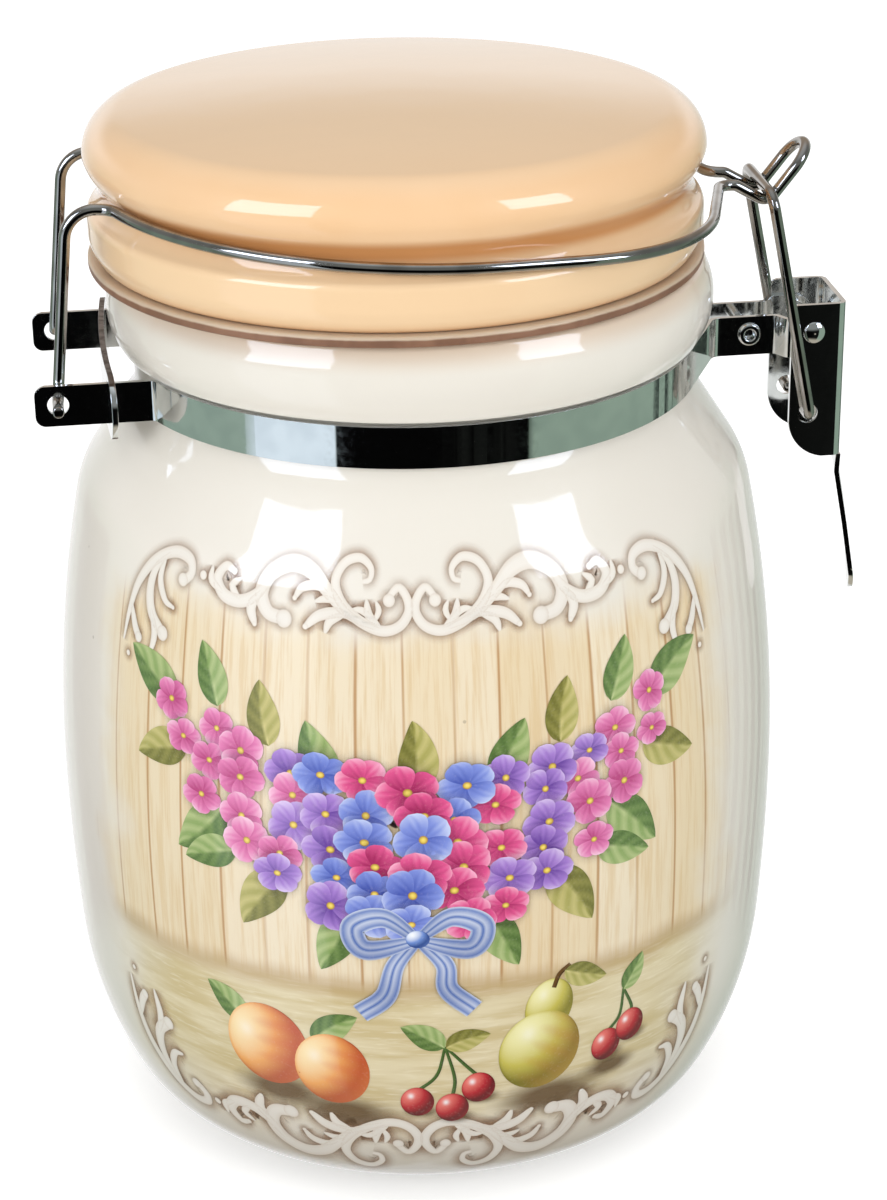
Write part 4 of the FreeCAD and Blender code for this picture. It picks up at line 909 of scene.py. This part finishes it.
# %% [markdown]
# Scroll borders are an old ornament: leafy C and S curls that grow out of each
# other, each stroke thin where it leaves its parent and round where it ends.
# The half above is drawn through a few points and mirrored; the lower border
# is the same half turned over and bent to the pot's foot.
# %% Curls of the border
# each stroke: points (u, v), half-width at its start, middle and end, ball radius at its end
CURLS = [
    ([(3.3, 97.0), (1.9, 98.3), (0.7, 97.0), (0.5, 95.2), (1.8, 93.4), (4.2, 92.8), (7.3, 94.1),
      (9.7, 96.3), (10.7, 98.9), (9.6, 101.0), (7.4, 101.6), (5.8, 100.5), (5.9, 99.2),
      (6.9, 98.9)], 0.35, 0.6, 0.25, 0),
    ([(5.0, 93.1), (8.6, 94.7), (11.4, 97.4), (14.0, 99.9), (17.0, 100.7), (19.8, 99.4),
      (20.9, 96.9), (19.9, 94.5), (17.6, 93.8)], 0.2, 0.85, 0.7, 1.2),
    ([(19.6, 99.4), (21.2, 97.0), (23.6, 95.5), (26.3, 95.9), (27.6, 97.9), (26.6, 99.6),
      (25.2, 99.1)], 0.25, 0.75, 0.3, 0.45),
    ([(7.6, 94.3), (10.2, 95.0), (12.8, 94.5), (14.6, 93.0)], 0.1, 0.62, 0.3, 0.4),
    ([(9.2, 94.8), (11.2, 93.9), (11.9, 92.3)], 0.1, 0.5, 0.15, 0),
    ([(11.7, 97.5), (13.5, 98.3), (15.3, 97.9), (16.2, 96.6)], 0.1, 0.5, 0.2, 0.35),
    ([(10.4, 96.4), (12.0, 96.7), (13.4, 96.3)], 0.1, 0.4, 0.12, 0),
    ([(4.3, 93.2), (5.9, 94.7), (6.3, 96.8)], 0.1, 0.5, 0.12, 0),
    ([(5.3, 94.2), (6.9, 95.4), (8.3, 95.5)], 0.1, 0.4, 0.12, 0),
    ([(5.2, 94.0), (4.6, 95.4), (5.0, 96.6)], 0.1, 0.35, 0.1, 0),
    ([(21.0, 97.0), (22.3, 94.9), (21.7, 92.7)], 0.15, 0.6, 0.3, 0.35),
    ([(24.0, 95.7), (25.3, 97.3), (24.0, 98.4)], 0.1, 0.45, 0.12, 0),
    ([(26.6, 96.2), (28.5, 97.6), (28.6, 99.4)], 0.1, 0.45, 0.12, 0),
    ([(32.9, 96.8), (31.8, 98.0), (32.4, 99.6), (35.0, 100.2), (38.2, 98.7), (40.9, 95.3),
      (42.3, 91.1), (43.1, 86.6)], 0.5, 0.6, 0.15, 0),
    ([(35.8, 99.9), (37.9, 97.7), (38.7, 94.6), (38.0, 91.4), (35.9, 89.1)], 0.15, 0.65, 0.6, 1.05),
    ([(36.4, 99.5), (37.0, 96.4), (35.9, 93.7), (34.4, 92.9)], 0.1, 0.5, 0.2, 0.3),
    ([(38.3, 92.0), (37.3, 88.7), (38.0, 85.4)], 0.15, 0.5, 0.1, 0),
    ([(42.0, 92.0), (41.1, 89.2), (40.2, 87.6)], 0.15, 0.5, 0.5, 0.75),
]
BALLS = [((3.2, 96.7), 0.85), ((29.9, 98.0), 0.6), ((33.1, 96.9), 0.9), ((42.0, 84.9), 0.4)]
SHADE = tint("#A98465")
FILL = (tint("#DDD3C6"), tint("#EBE6DD"))
FILL_RISE = 12  # layers between the shadows and the light strokes
print("one half has %d curls and %d balls" % (len(CURLS), len(BALLS)))

# %% Scroll borders


def melt(share):
    """Alpha of a stroke's shadow: full in the middle, smoothly nothing at share 1."""
    return 0.62 * np.clip(1.25 * (1 - share), 0, 1) ** 1.6


def dot(centre, radius):
    """A round stroke end: its soft shadow reaches 1.1 mm further."""
    flat, x, y = disc(centre, radius + 1.1, rings=7, spokes=20)
    lay(flat, veil(SHADE, melt(np.hypot(x, y))), 0)
    flat, x, y = disc(centre, radius)
    lay(flat, blend(FILL[1], FILL[0], np.hypot(x, y) ** 4), FILL_RISE)


def border(bend, swell, spread):
    """Draw both halves of a border: shadows first, then the light strokes on top."""
    shadow = np.linspace(-1, 1, 9)
    light = np.array([-1, -0.8, -0.35, 0.35, 0.8, 1])
    edge = blend(FILL[1], FILL[0], np.abs(light) ** 3)[None]
    for mirror in (1, -1):
        for points, start, middle, end, ball in CURLS:
            path = bend(spline(points), mirror)
            half = swell * widths(len(path), start, middle, end)
            fade = np.minimum(1, np.linspace(0, 1, len(path)) * 8)[:, None]
            lay(ribbon(path, half + spread, shadow),
                veil(SHADE, melt(np.abs(shadow)) * np.minimum(fade, fade[::-1] + 0.3)), 0)
            lay(ribbon(path, half, light), edge, FILL_RISE)
            if ball:
                dot(path[-1], ball)
        for centre, radius in BALLS:
            dot(bend(np.array([centre]), mirror)[0], radius)


def upper(path, mirror):
    """The border as drawn, mirrored, its ends drawn out and hanging lower."""
    u, v = path[:, 0], path[:, 1]
    return np.stack([u * mirror * (1.0 + 0.002 * u), v - 0.0012 * u ** 2], 1)


def lower(path, mirror):
    """Turned over, a little taller, and rising by the square of u towards its ends."""
    u, v = path[:, 0] * 1.12, path[:, 1]
    return np.stack([u * mirror, 14.0 + (96.6 - v) * 1.15 + 0.0028 * u ** 2], 1)


border(upper, 1.22, 1.15)
upper_border = take()
border(lower, 1.4, 1.9)
lower_border = take()

# %% [markdown]
# The picture itself is a plain country spray of the painter's kind: five-petal
# blossoms in pink, violet and blue, set in leaves along a hanging crescent and
# tied with a blue and white bow, with peaches, a pear and cherries on the
# table below.  Each petal is a small grid whose colour runs from a deep heart
# to a pale rim, with faint veins.
# %% Tones of three
PINK, ROSE, VIOLET, BLUE, GREEN, OLIVE, PEACH, PEAR, CHERRY, KNOT = [
    [tint(code) for code in codes] for codes in (
        ("#B8407E", "#E07AB0", "#F7CBE0"), ("#A82A60", "#E0568F", "#F9B9D2"),
        ("#6A459E", "#A67FCF", "#DCC8EE"), ("#4A5CB4", "#7E90DA", "#C8D3F4"),
        ("#4E6B34", "#86A15C", "#C3CE94"), ("#6B6A2C", "#A4A055", "#D6CB8A"),
        ("#B4582A", "#EFA85C", "#FBE3B0"), ("#7C7426", "#C9BE58", "#F3EEB4"),
        ("#5E0C18", "#B8202E", "#EE7A70"), ("#2F4A8C", "#6F90D2", "#EEF3FB"))]


def three_tone(tones, share):
    """A colour run through three tones, by a share from 0 to 1."""
    share = np.clip(share, 0, 1)
    return np.where((share < 0.5)[..., None], blend(tones[0], tones[1], share * 2),
                    blend(tones[1], tones[2], share * 2 - 1))


print("a petal's rim in linear light:", np.round(three_tone(PINK, np.array(1.0)), 2))

# %% Petals, leaves and blossoms


def blade(root, heading, length, half, curve, blunt=0.0, light=0.0, rows=13, columns=9):
    """A petal or leaf and its tones: half-width half * sin(pi * s ** p), bent by curve."""
    s = np.linspace(0, 1, rows)
    angle = radians(heading) + curve * (s - 0.5)
    step = length / (rows - 1)
    run = np.concatenate([[[0, 0]], np.cumsum(np.stack([np.cos(angle), np.sin(angle)], 1)[:-1]
                                              * step, axis=0)])
    power = 0.75 + 0.75 * blunt
    wide = half * np.sin(pi * s ** power) ** (0.8 - 0.25 * blunt) + 0.02
    t = np.linspace(-1, 1, columns)
    flat = ribbon(np.array(root) + run, wide, t)
    t, s = t[None, :], s[:, None]
    veins = 0.10 * np.sin(t * 11 + s * 3) * (1 - np.abs(t))
    share = light + 0.12 + 0.85 * s ** 1.2 + veins
    return flat, share - 0.2 * (1 - t ** 2) * s + 0.16 * t


def leaf(root, heading, length, tones, curve):
    """A pointed leaf, one side lit and the other in shade, with a pale midrib and side veins."""
    flat, _ = blade(root, heading, length, length * 0.27, curve, rows=21, columns=11)
    t = np.linspace(-1, 1, 11)[None, :]
    s = np.linspace(0, 1, 21)[:, None]
    side = 0.42 + 0.2 * np.sign(t) + 0.13 * np.sin(26 * s - 7 * np.abs(t)) + 0.1 * t
    rib = np.exp(-(t / 0.1) ** 2) * 0.5
    lay(flat, three_tone(tones, side + rib * (1 - s)))


def soft(centre, radius, colour, strength, squash=1.0):
    """A shadow that fades out from its middle."""
    flat, x, y = disc(centre, radius, rings=7, spokes=20, squash=squash)
    lay(flat, veil(colour, strength * np.clip(1.5 * (1 - np.hypot(x, y)), 0, 1) ** 1.5))


def blossom(centre, radius, tones, turn, squash, dim):
    """Five broad petals round a yellow heart, each petal turned 72 degrees from the last."""
    soft(centre, radius * 1.2, tint("#4A3040"), 0.55)
    base = sheets[-1]["layer"] + 1
    for number, step in enumerate((0, 1, 0, 1, 2)):
        heading = turn + 72 * number + chance.uniform(-6, 6)
        flat, share = blade((0, 0), heading, radius, radius * 0.47, chance.uniform(-0.3, 0.3),
                            1.0, chance.uniform(-0.12, 0.1) - dim)
        lay(np.array(centre) + flat * np.array([1, squash]), three_tone(tones, share), base + step)
    flat, x, y = disc(centre, radius * 0.15, rings=4, spokes=12, squash=squash)
    lay(flat, blend(tint("#F4DC6A"), tint("#A8772E"), np.hypot(x, y) ** 2), base + 3)


print("one petal: %d points" % blade((0, 0), 0, 4, 2, 0.1)[1].size)

# %% Fruit, stalks and ribbon


def fruit(centre, radius, tones, shine, squash=1.0, lean=0.0, rosy=None):
    """A ball lit from the upper left: tone by the slope towards the light, with a glint."""
    flat, x, y = disc(centre, radius, rings=14, spokes=44, squash=squash, lean=lean)
    z = np.sqrt(np.clip(1 - x * x - y * y, 0, 1))
    lit = np.clip(-0.5 * x + 0.55 * y + 0.67 * z, 0, 1)
    bounce = 0.18 * np.clip(0.8 * x - 0.6 * y, 0, 1) ** 3
    paint = three_tone(tones, lit ** 1.2 + bounce)
    if rosy is not None:
        blush = np.clip(0.9 * x + 0.2 - 0.3 * y + 0.15 * np.sin(14 * y + 5 * x), 0, 1) * 0.8
        paint = blend(paint, rosy, blush * (0.4 + 0.6 * lit))
    glint = np.exp(-((x + 0.38) ** 2 + (y - 0.42) ** 2) / 0.03) * shine
    lay(flat, blend(paint, tint("#FFFFFF"), glint))


def stalk(points, start, end, colour):
    """A plain painted line, darker along one side."""
    path = spline(points)
    paint = blend(colour, colour * np.array([0.45, 0.45, 0.45, 1]), np.array([0, 0, 0.4, 1]))
    lay(ribbon(path, np.linspace(start, end, len(path)), np.array([-1, -0.3, 0.3, 1])),
        paint[None])


def bow(knot):
    """A blue and white ribbon: two tails, two loops and a knot."""
    across = np.linspace(-1, 1, 9)
    stripe = blend(tint("#E6EDF8"), tint("#5677BE"), 0.55 + 0.45 * np.cos(across * 9.4))
    strokes = [([(0, 0), (-3, -4), (-4.5, -9), (-8, -12)], 0.8, 1.4, 1.5),
               ([(0, 0), (3.5, -4), (4, -8), (7.5, -11.5)], 0.8, 1.4, 1.5)]
    strokes += [([(0, 0), (way * 4.5, 3.2), (way * 8.6, 1.6), (way * 7, -1.8), (0, -0.2)],
                 0.6, 1.7, 0.6) for way in (-1, 1)]
    for points, start, middle, end in strokes:
        path = spline(np.array(knot) + points)
        fold = 0.12 + 0.3 * (0.5 + 0.5 * np.cos(np.linspace(0, 9, len(path))))[:, None]
        paint = blend(np.broadcast_to(stripe, (len(path), 9, 4)), tint("#34508F"),
                      np.broadcast_to(fold, (len(path), 9)))
        lay(ribbon(path, widths(len(path), start, middle, end), across), paint)
    fruit(knot, 1.6, KNOT, 0.4, 0.85)


print("stripes across the ribbon:", round(2 * 9.4 / (2 * pi)))

# %% Lay the flowers
# leaves on both sides, as they stand on the right, and leaves near the middle
SIDE_LEAVES = [(35, 79, 30, 11, GREEN), (33, 73, -20, 10, OLIVE), (28, 80, 70, 9, GREEN),
               (27, 66, -45, 11, GREEN), (20, 76, 80, 9, OLIVE), (18, 58, -55, 11, OLIVE)]
MIDDLE_LEAVES = [(-11, 71, 112, 10, GREEN), (11, 71, 66, 10, GREEN), (-9, 53, 245, 10, GREEN),
                 (9, 53, -62, 10, GREEN), (0, 71, 92, 10, OLIVE), (-25, 60, 200, 9, GREEN),
                 (25, 60, -18, 9, GREEN)]


def spray():
    """Leaves first, then blossoms from the ends of the crescent to its middle."""
    leaves = [(-u, v, 180 - heading, length, tones) for u, v, heading, length, tones in SIDE_LEAVES]
    for u, v, heading, length, tones in leaves + SIDE_LEAVES + MIDDLE_LEAVES:
        leaf((u, v), heading, length, tones, chance.uniform(-0.5, 0.5))
    kinds = [PINK, VIOLET, BLUE, ROSE, VIOLET, PINK]
    spots = []
    for share in np.linspace(-1, 1, 13):
        thick = 9.0 * (1 - share ** 2) + 2.2
        middle = 61.5 + 15.5 * share ** 2
        for row in np.linspace(-1, 1, max(int(round(2 * thick / 4.6)), 1) + 1):
            spots.append((35 * share + chance.uniform(-1.4, 1.4),
                          middle + row * thick * 0.9 + chance.uniform(-0.9, 0.9), share))
    spots.sort(key=lambda spot: -abs(spot[2]) - 0.02 * spot[1])
    for u, v, share in spots:
        place = (share + 1) * 3 + chance.uniform(-0.7, 0.7)
        radius = 4.1 - 1.0 * abs(share) + chance.uniform(-0.35, 0.35)
        blossom((u, v), radius, kinds[int(np.clip(place, 0, 5.99))], chance.uniform(0, 72),
                chance.uniform(0.8, 1.0), chance.uniform(-0.05, 0.16))
    print("blossoms:", len(spots))


spray()
bow((0.0, 49.5))
flowers = take()

# %% Lay the fruit
CHERRIES = [((-0.5, 22.5), (3.5, 32)), ((4.5, 21.2), (3.5, 32)), ((8.2, 24.6), (3.5, 32)),
            ((27.5, 27.5), (30, 36)), ((31.5, 29.5), (30, 36))]


def still_life():
    """Peaches, a pear and cherries, each on its own soft shadow."""
    dark = tint("#6E5230")
    for u, v, size in ((-22, 26, 8), (-12.5, 23.5, 8), (17.5, 24.5, 9), (27, 27, 5)):
        soft((u + 1.5, v - 3.5), size * 1.1, dark, 0.75, 0.42)
    leaf((-25, 33), 140, 8, GREEN, 0.4)
    fruit((-22, 30), 6.2, PEACH, 0.35, 1.08, 20, tint("#C83A34"))
    leaf((-15, 32), 35, 8, GREEN, -0.4)
    fruit((-12.5, 27.5), 5.4, PEACH, 0.35, 1.1, 10, tint("#CE4838"))
    fruit((18.2, 36.4), 3.5, PEAR, 0.3, 1.3, -12)
    fruit((17, 29.5), 6.0, PEAR, 0.35, 1.08, -10, tint("#B86A34"))
    stalk([(18.8, 39.4), (19.6, 41.4), (21.2, 42.6)], 0.35, 0.35, tint("#6A4A24"))
    leaf((20.4, 41.8), -20, 7, OLIVE, 0.3)
    for (u, v), _ in CHERRIES:
        soft((u + 0.6, v - 1.8), 3.2, dark, 0.7, 0.5)
    for (u, v), top in CHERRIES:
        stalk([(u, v + 2), ((u + top[0]) / 2 + 0.8, (v + top[1]) / 2), top], 0.28, 0.2, GREEN[0])
    leaf((3.4, 31.8), 150, 7, GREEN, 0.4)
    leaf((3.6, 31.8), 15, 6.5, OLIVE, -0.4)
    leaf((30, 35.8), 60, 6, GREEN, 0.3)
    for centre, _ in CHERRIES:
        fruit(centre, 2.4, CHERRY, 0.9, 1.1)


still_life()
table_fruit = take()

# %% [markdown]
# The flat sheets now go round the pot.  Each point keeps its height; its angle
# is u over the pot's radius, and it stands a few thousandths of a millimetre
# further out for every layer, so that later strokes cover earlier ones.
# %% Lay the print on the pot
LAYER = 0.002  # mm from one layer to the next


def on_pot(flat, proud):
    """Points on the glaze: radius from the pot's profile at height v, moved out by proud."""
    u, v = flat[..., 0], flat[..., 1]
    radius, above, below = [np.interp(v + step, outer_wall[:, 1], outer_wall[:, 0])
                            for step in (0, 0.5, -0.5)]
    lean = np.arctan(above - below)
    angle = radians(FACING) + u / UNROLL
    radius = radius + proud * np.cos(lean)
    return np.stack([radius * np.sin(angle), -radius * np.cos(angle),
                     v - proud * np.sin(lean)], -1)


def stroke_enamel(add, where):
    """Printed enamel under the glaze: the stroke's own colour, with the pot's gloss over it."""
    colour, _, _, alpha = add("Attribute", attribute_name="paint").outputs
    grain = add("TexNoise", where, Scale=2500.0, Detail=1.0)
    worn = add("MULTIPLY", add("ramp", grain, 0.55, 0.8, 0.0, 0.06), alpha)
    return glaze_over(add, where, add("mix", worn, colour, "#F2E8DA"), Alpha=alpha)


enamel = finish("printed enamel", stroke_enamel)


def transfer(name, pile, proud):
    """One mesh from a pile of sheets, lowest layer nearest the glaze."""
    points, paint, quads, first = [], [], [], 0
    for sheet in pile:
        rows, columns = sheet["flat"].shape[:2]
        points.append(on_pot(sheet["flat"], proud + LAYER * sheet["layer"]).reshape(-1, 3))
        paint.append(sheet["paint"].reshape(-1, 4))
        quads.append(cells(rows, columns) + first)
        first += rows * columns
    mesh = smooth_mesh(name, np.concatenate(points), np.concatenate(quads))
    layer = mesh.color_attributes.new("paint", "FLOAT_COLOR", "POINT")
    layer.data.foreach_set("color", np.concatenate(paint).ravel())
    piece = link(name, mesh, enamel, "jar")


transfer("print_upper_border", upper_border, 0.03)
transfer("print_lower_border", lower_border, 0.03)
transfer("print_table_fruit", table_fruit, 0.045)
transfer("print_flowers", flowers, 0.06)

# %% [markdown]
# A product studio: a pale floor, and three soft boxes.  Chrome and glaze show
# their surroundings, so a shell round the jar, seen by reflections only,
# carries what such a studio mirrors: two bright boxes, grey-green walls and
# the dark room behind the camera.
# %% Floor


def white_paper(add, where):
    """White paper: matt, a little lifted where the camera sees it, shaded under the jar."""
    camera_ray = add("LightPath").outputs["Is Camera Ray"]
    reach = add("VectorMath", where, operation="LENGTH")
    under = add("MULTIPLY", add("ramp", reach, 0.06, 0.11, 0.7, 0.0),
                add("SUBTRACT", 1.0, camera_ray))
    paper = add("BsdfDiffuse", Color=add("mix", under, "#F6F6F6", "#6E675A"))
    lifted = add("Emission", Color="#FFFFFF",
                 Strength=add("MULTIPLY", camera_ray, 0.45))
    return add("AddShader", paper, lifted)


floor_mesh = bpy.data.meshes.new("floor")
floor_mesh.from_pydata([(-4, -4, 0), (4, -4, 0), (4, 4, 0), (-4, 4, 0)], [], [(0, 1, 2, 3)])
floor = bpy.data.objects.new("floor", floor_mesh)
scene.collection.objects.link(floor)
floor_mesh.materials.append(finish("white paper", white_paper))
floor.visible_glossy = False
print("floor: %.0f m wide" % floor.dimensions.x)

# %% Soft boxes
AIM = Vector((0, 0, 0.1))  # metres: the jar's shoulder


def soft_box(name, azimuth, elevation, distance, width, height, watts):
    """An area lamp in a direction from the jar's shoulder, turned to face it."""
    a, e = radians(azimuth), radians(elevation)
    lamp = bpy.data.lights.new(name, "AREA")
    lamp.shape = "RECTANGLE"
    lamp.size, lamp.size_y, lamp.energy = width, height, watts
    holder = bpy.data.objects.new(name, lamp)
    out_way = Vector((sin(a) * cos(e), -cos(a) * cos(e), sin(e)))
    holder.matrix_world = (Matrix.Translation(AIM + out_way * distance)
                           @ out_way.to_track_quat("Z", "Y").to_matrix().to_4x4())
    holder.visible_glossy = False
    scene.collection.objects.link(holder)
    print("%s: %.1f W" % (name, watts))


soft_box("left box", -49, 18, 0.9, 0.52, 0.47, 2.5)
soft_box("top box", 0, 80, 1.0, 0.9, 0.9, 1.6)
soft_box("right box", 42, 22, 0.9, 0.43, 0.38, 1.8)

# %% Bands and windows
SHELL_RADIUS, SHELL_MIDDLE = 1500.0, 115.0  # the shell is centred on the jar's neck


def band(add, value, low, high, fade=1.5):
    """1 between low and high, with soft edges."""
    return add("MULTIPLY", add("ramp", value, low - fade, low + fade),
               add("ramp", value, high - fade, high + fade, 1.0, 0.0))


def window(add, azimuth, height, left, right, tilt, low, high):
    """A bright box between two azimuths; its lower and upper edges tilt about its middle."""
    middle, slope = tilt
    tilted = add("MULTIPLY_ADD", add("SUBTRACT", azimuth, middle), slope, height)
    return add("MULTIPLY", band(add, azimuth, left, right, 0.8),
               band(add, tilted, low, high, 0.5))


print("shell: %.1f m in radius" % (SHELL_RADIUS * MM))

# %% What the studio mirrors


def studio_walls(add, where):
    """What lies in each direction from the neck: azimuth from -Y towards +X, in degrees."""
    x, y, z = add("SeparateXYZ", where).outputs
    azimuth = add("DEGREES", add("ARCTAN2", x, add("MULTIPLY", y, -1.0)))
    rise = add("DIVIDE", add("SUBTRACT", z, SHELL_MIDDLE * MM), SHELL_RADIUS * MM)
    height = add("DEGREES", add("ARCSINE", rise))
    low_down = band(add, height, -34, -8)
    stripes = add("ramp", add("SINE", add("MULTIPLY", azimuth, 0.9)),
                  -0.3, 0.1, 0.0, 0.9)
    dark_right = add("MULTIPLY", band(add, azimuth, 104, 140),
                     add("MULTIPLY", low_down, stripes))
    dark_left = add("MULTIPLY", band(add, azimuth, -150, -124), low_down)
    patchy = add("TexNoise", W=azimuth, Scale=0.35, Detail=2.0, noise_dimensions="1D")
    glow = add("MULTIPLY", band(add, azimuth, 4, 36),
               add("ramp", patchy, 0.4, 0.7, 0.0, 0.5))
    above = add("ramp", height, -6.0, 12.0)
    wall = add("mix", band(add, azimuth, -122, -73), "#8FA394", "#93A79B")
    for mask, colour in ((dark_right, "#15181A"), (dark_left, "#2A2320"),
                         (band(add, azimuth, -37, 40), "#050505"), (glow, "#2A2D2A"),
                         (band(add, azimuth, -73, -37), "#E6F4FF"),
                         (add("ramp", height, -62.0, -40.0, 1.0, 0.0), "#B9B2A2"),
                         (above, "#8A8E8C")):
        wall = add("mix", mask, wall, colour)
    turned = add("ABSOLUTE", azimuth)
    behind = add("mix", add("ramp", height, 10.5, 21.0), "#FFFFFF", "#B7AA9C")
    side = add("mix", above, add("ramp", turned, 128.0, 172.0),
               add("ramp", turned, 95.0, 150.0))
    wall = add("mix", side, wall, behind)
    wall = add("mix", add("ramp", height, 40.0, 75.0, 0.0, 0.6), wall, "#E8EEF2")
    left = window(add, azimuth, height, -69, -36, (-61.0, -0.18), 8, 36.2)
    right = window(add, azimuth, height, 34, 58.5, (47.0, 0.25), 12, 36.0)
    return add("MixShader", add("MAXIMUM", left, right),
               add("Emission", Color=wall, Strength=1.0),
               add("Emission", Color="#DCE9FF", Strength=7.5))


walls = finish("surroundings", studio_walls)

# %% Shell


def surroundings():
    """A shell round the neck: radius * (cos e sin a, -cos e cos a, sin e), seen by reflections."""
    across = np.radians(np.linspace(-180, 180, 73))
    up = np.radians(np.linspace(-88, 89, 36))[:, None]
    points = SHELL_RADIUS * np.stack([np.cos(up) * np.sin(across), -np.cos(up) * np.cos(across),
                                      np.sin(up) + 0 * across], 2)
    points[:, :, 2] += SHELL_MIDDLE
    mesh = smooth_mesh("surroundings", points, cells(*points.shape[:2]))
    mesh.materials.append(walls)
    shell = bpy.data.objects.new("surroundings", mesh)
    scene.collection.objects.link(shell)
    for name in ("visible_camera", "visible_diffuse", "visible_transmission", "visible_shadow"):
        setattr(shell, name, False)
    print("surroundings: %d faces" % len(mesh.polygons))


surroundings()

# %% World
world = bpy.data.worlds.new("studio")
scene.world = world
world.use_nodes = True
world.node_tree.nodes.clear()
add = partial(add_node, world.node_tree)
rays = add("LightPath").outputs
seen = add("MAXIMUM", rays["Is Camera Ray"], rays["Is Glossy Ray"])
seen = add("MAXIMUM", seen, rays["Is Transmission Ray"])
sky = add("Background", Color="#FFFFFF",
          Strength=add("ramp", seen, 0.0, 1.0, 0.68, 1.0))
add("OutputWorld", sky)
print("world: white where it is seen, softer where it lights")

# %% [markdown]
# The camera looks down on the front from a little left of the middle, through
# a long lens.  Its right and up directions give its turn.
# %% Camera
camera = bpy.data.cameras.new("camera")
camera.sensor_fit = "HORIZONTAL"
camera.sensor_width = 36.0
camera.lens = 117.78
holder = bpy.data.objects.new("camera", camera)
right = Vector((0.99044, -0.13736, -0.01233))
up = Vector((0.06679, 0.39955, 0.91428))
turn = Matrix((right, up, right.cross(up))).transposed().to_4x4()
place = Vector((-46.94, -383.72, 246.82)) * MM
holder.matrix_world = Matrix.Translation(place) @ turn
scene.collection.objects.link(holder)
scene.camera = holder
scene.view_settings.view_transform = "Standard"
print("camera: %.0f mm from the jar's foot" % (place.length / MM))
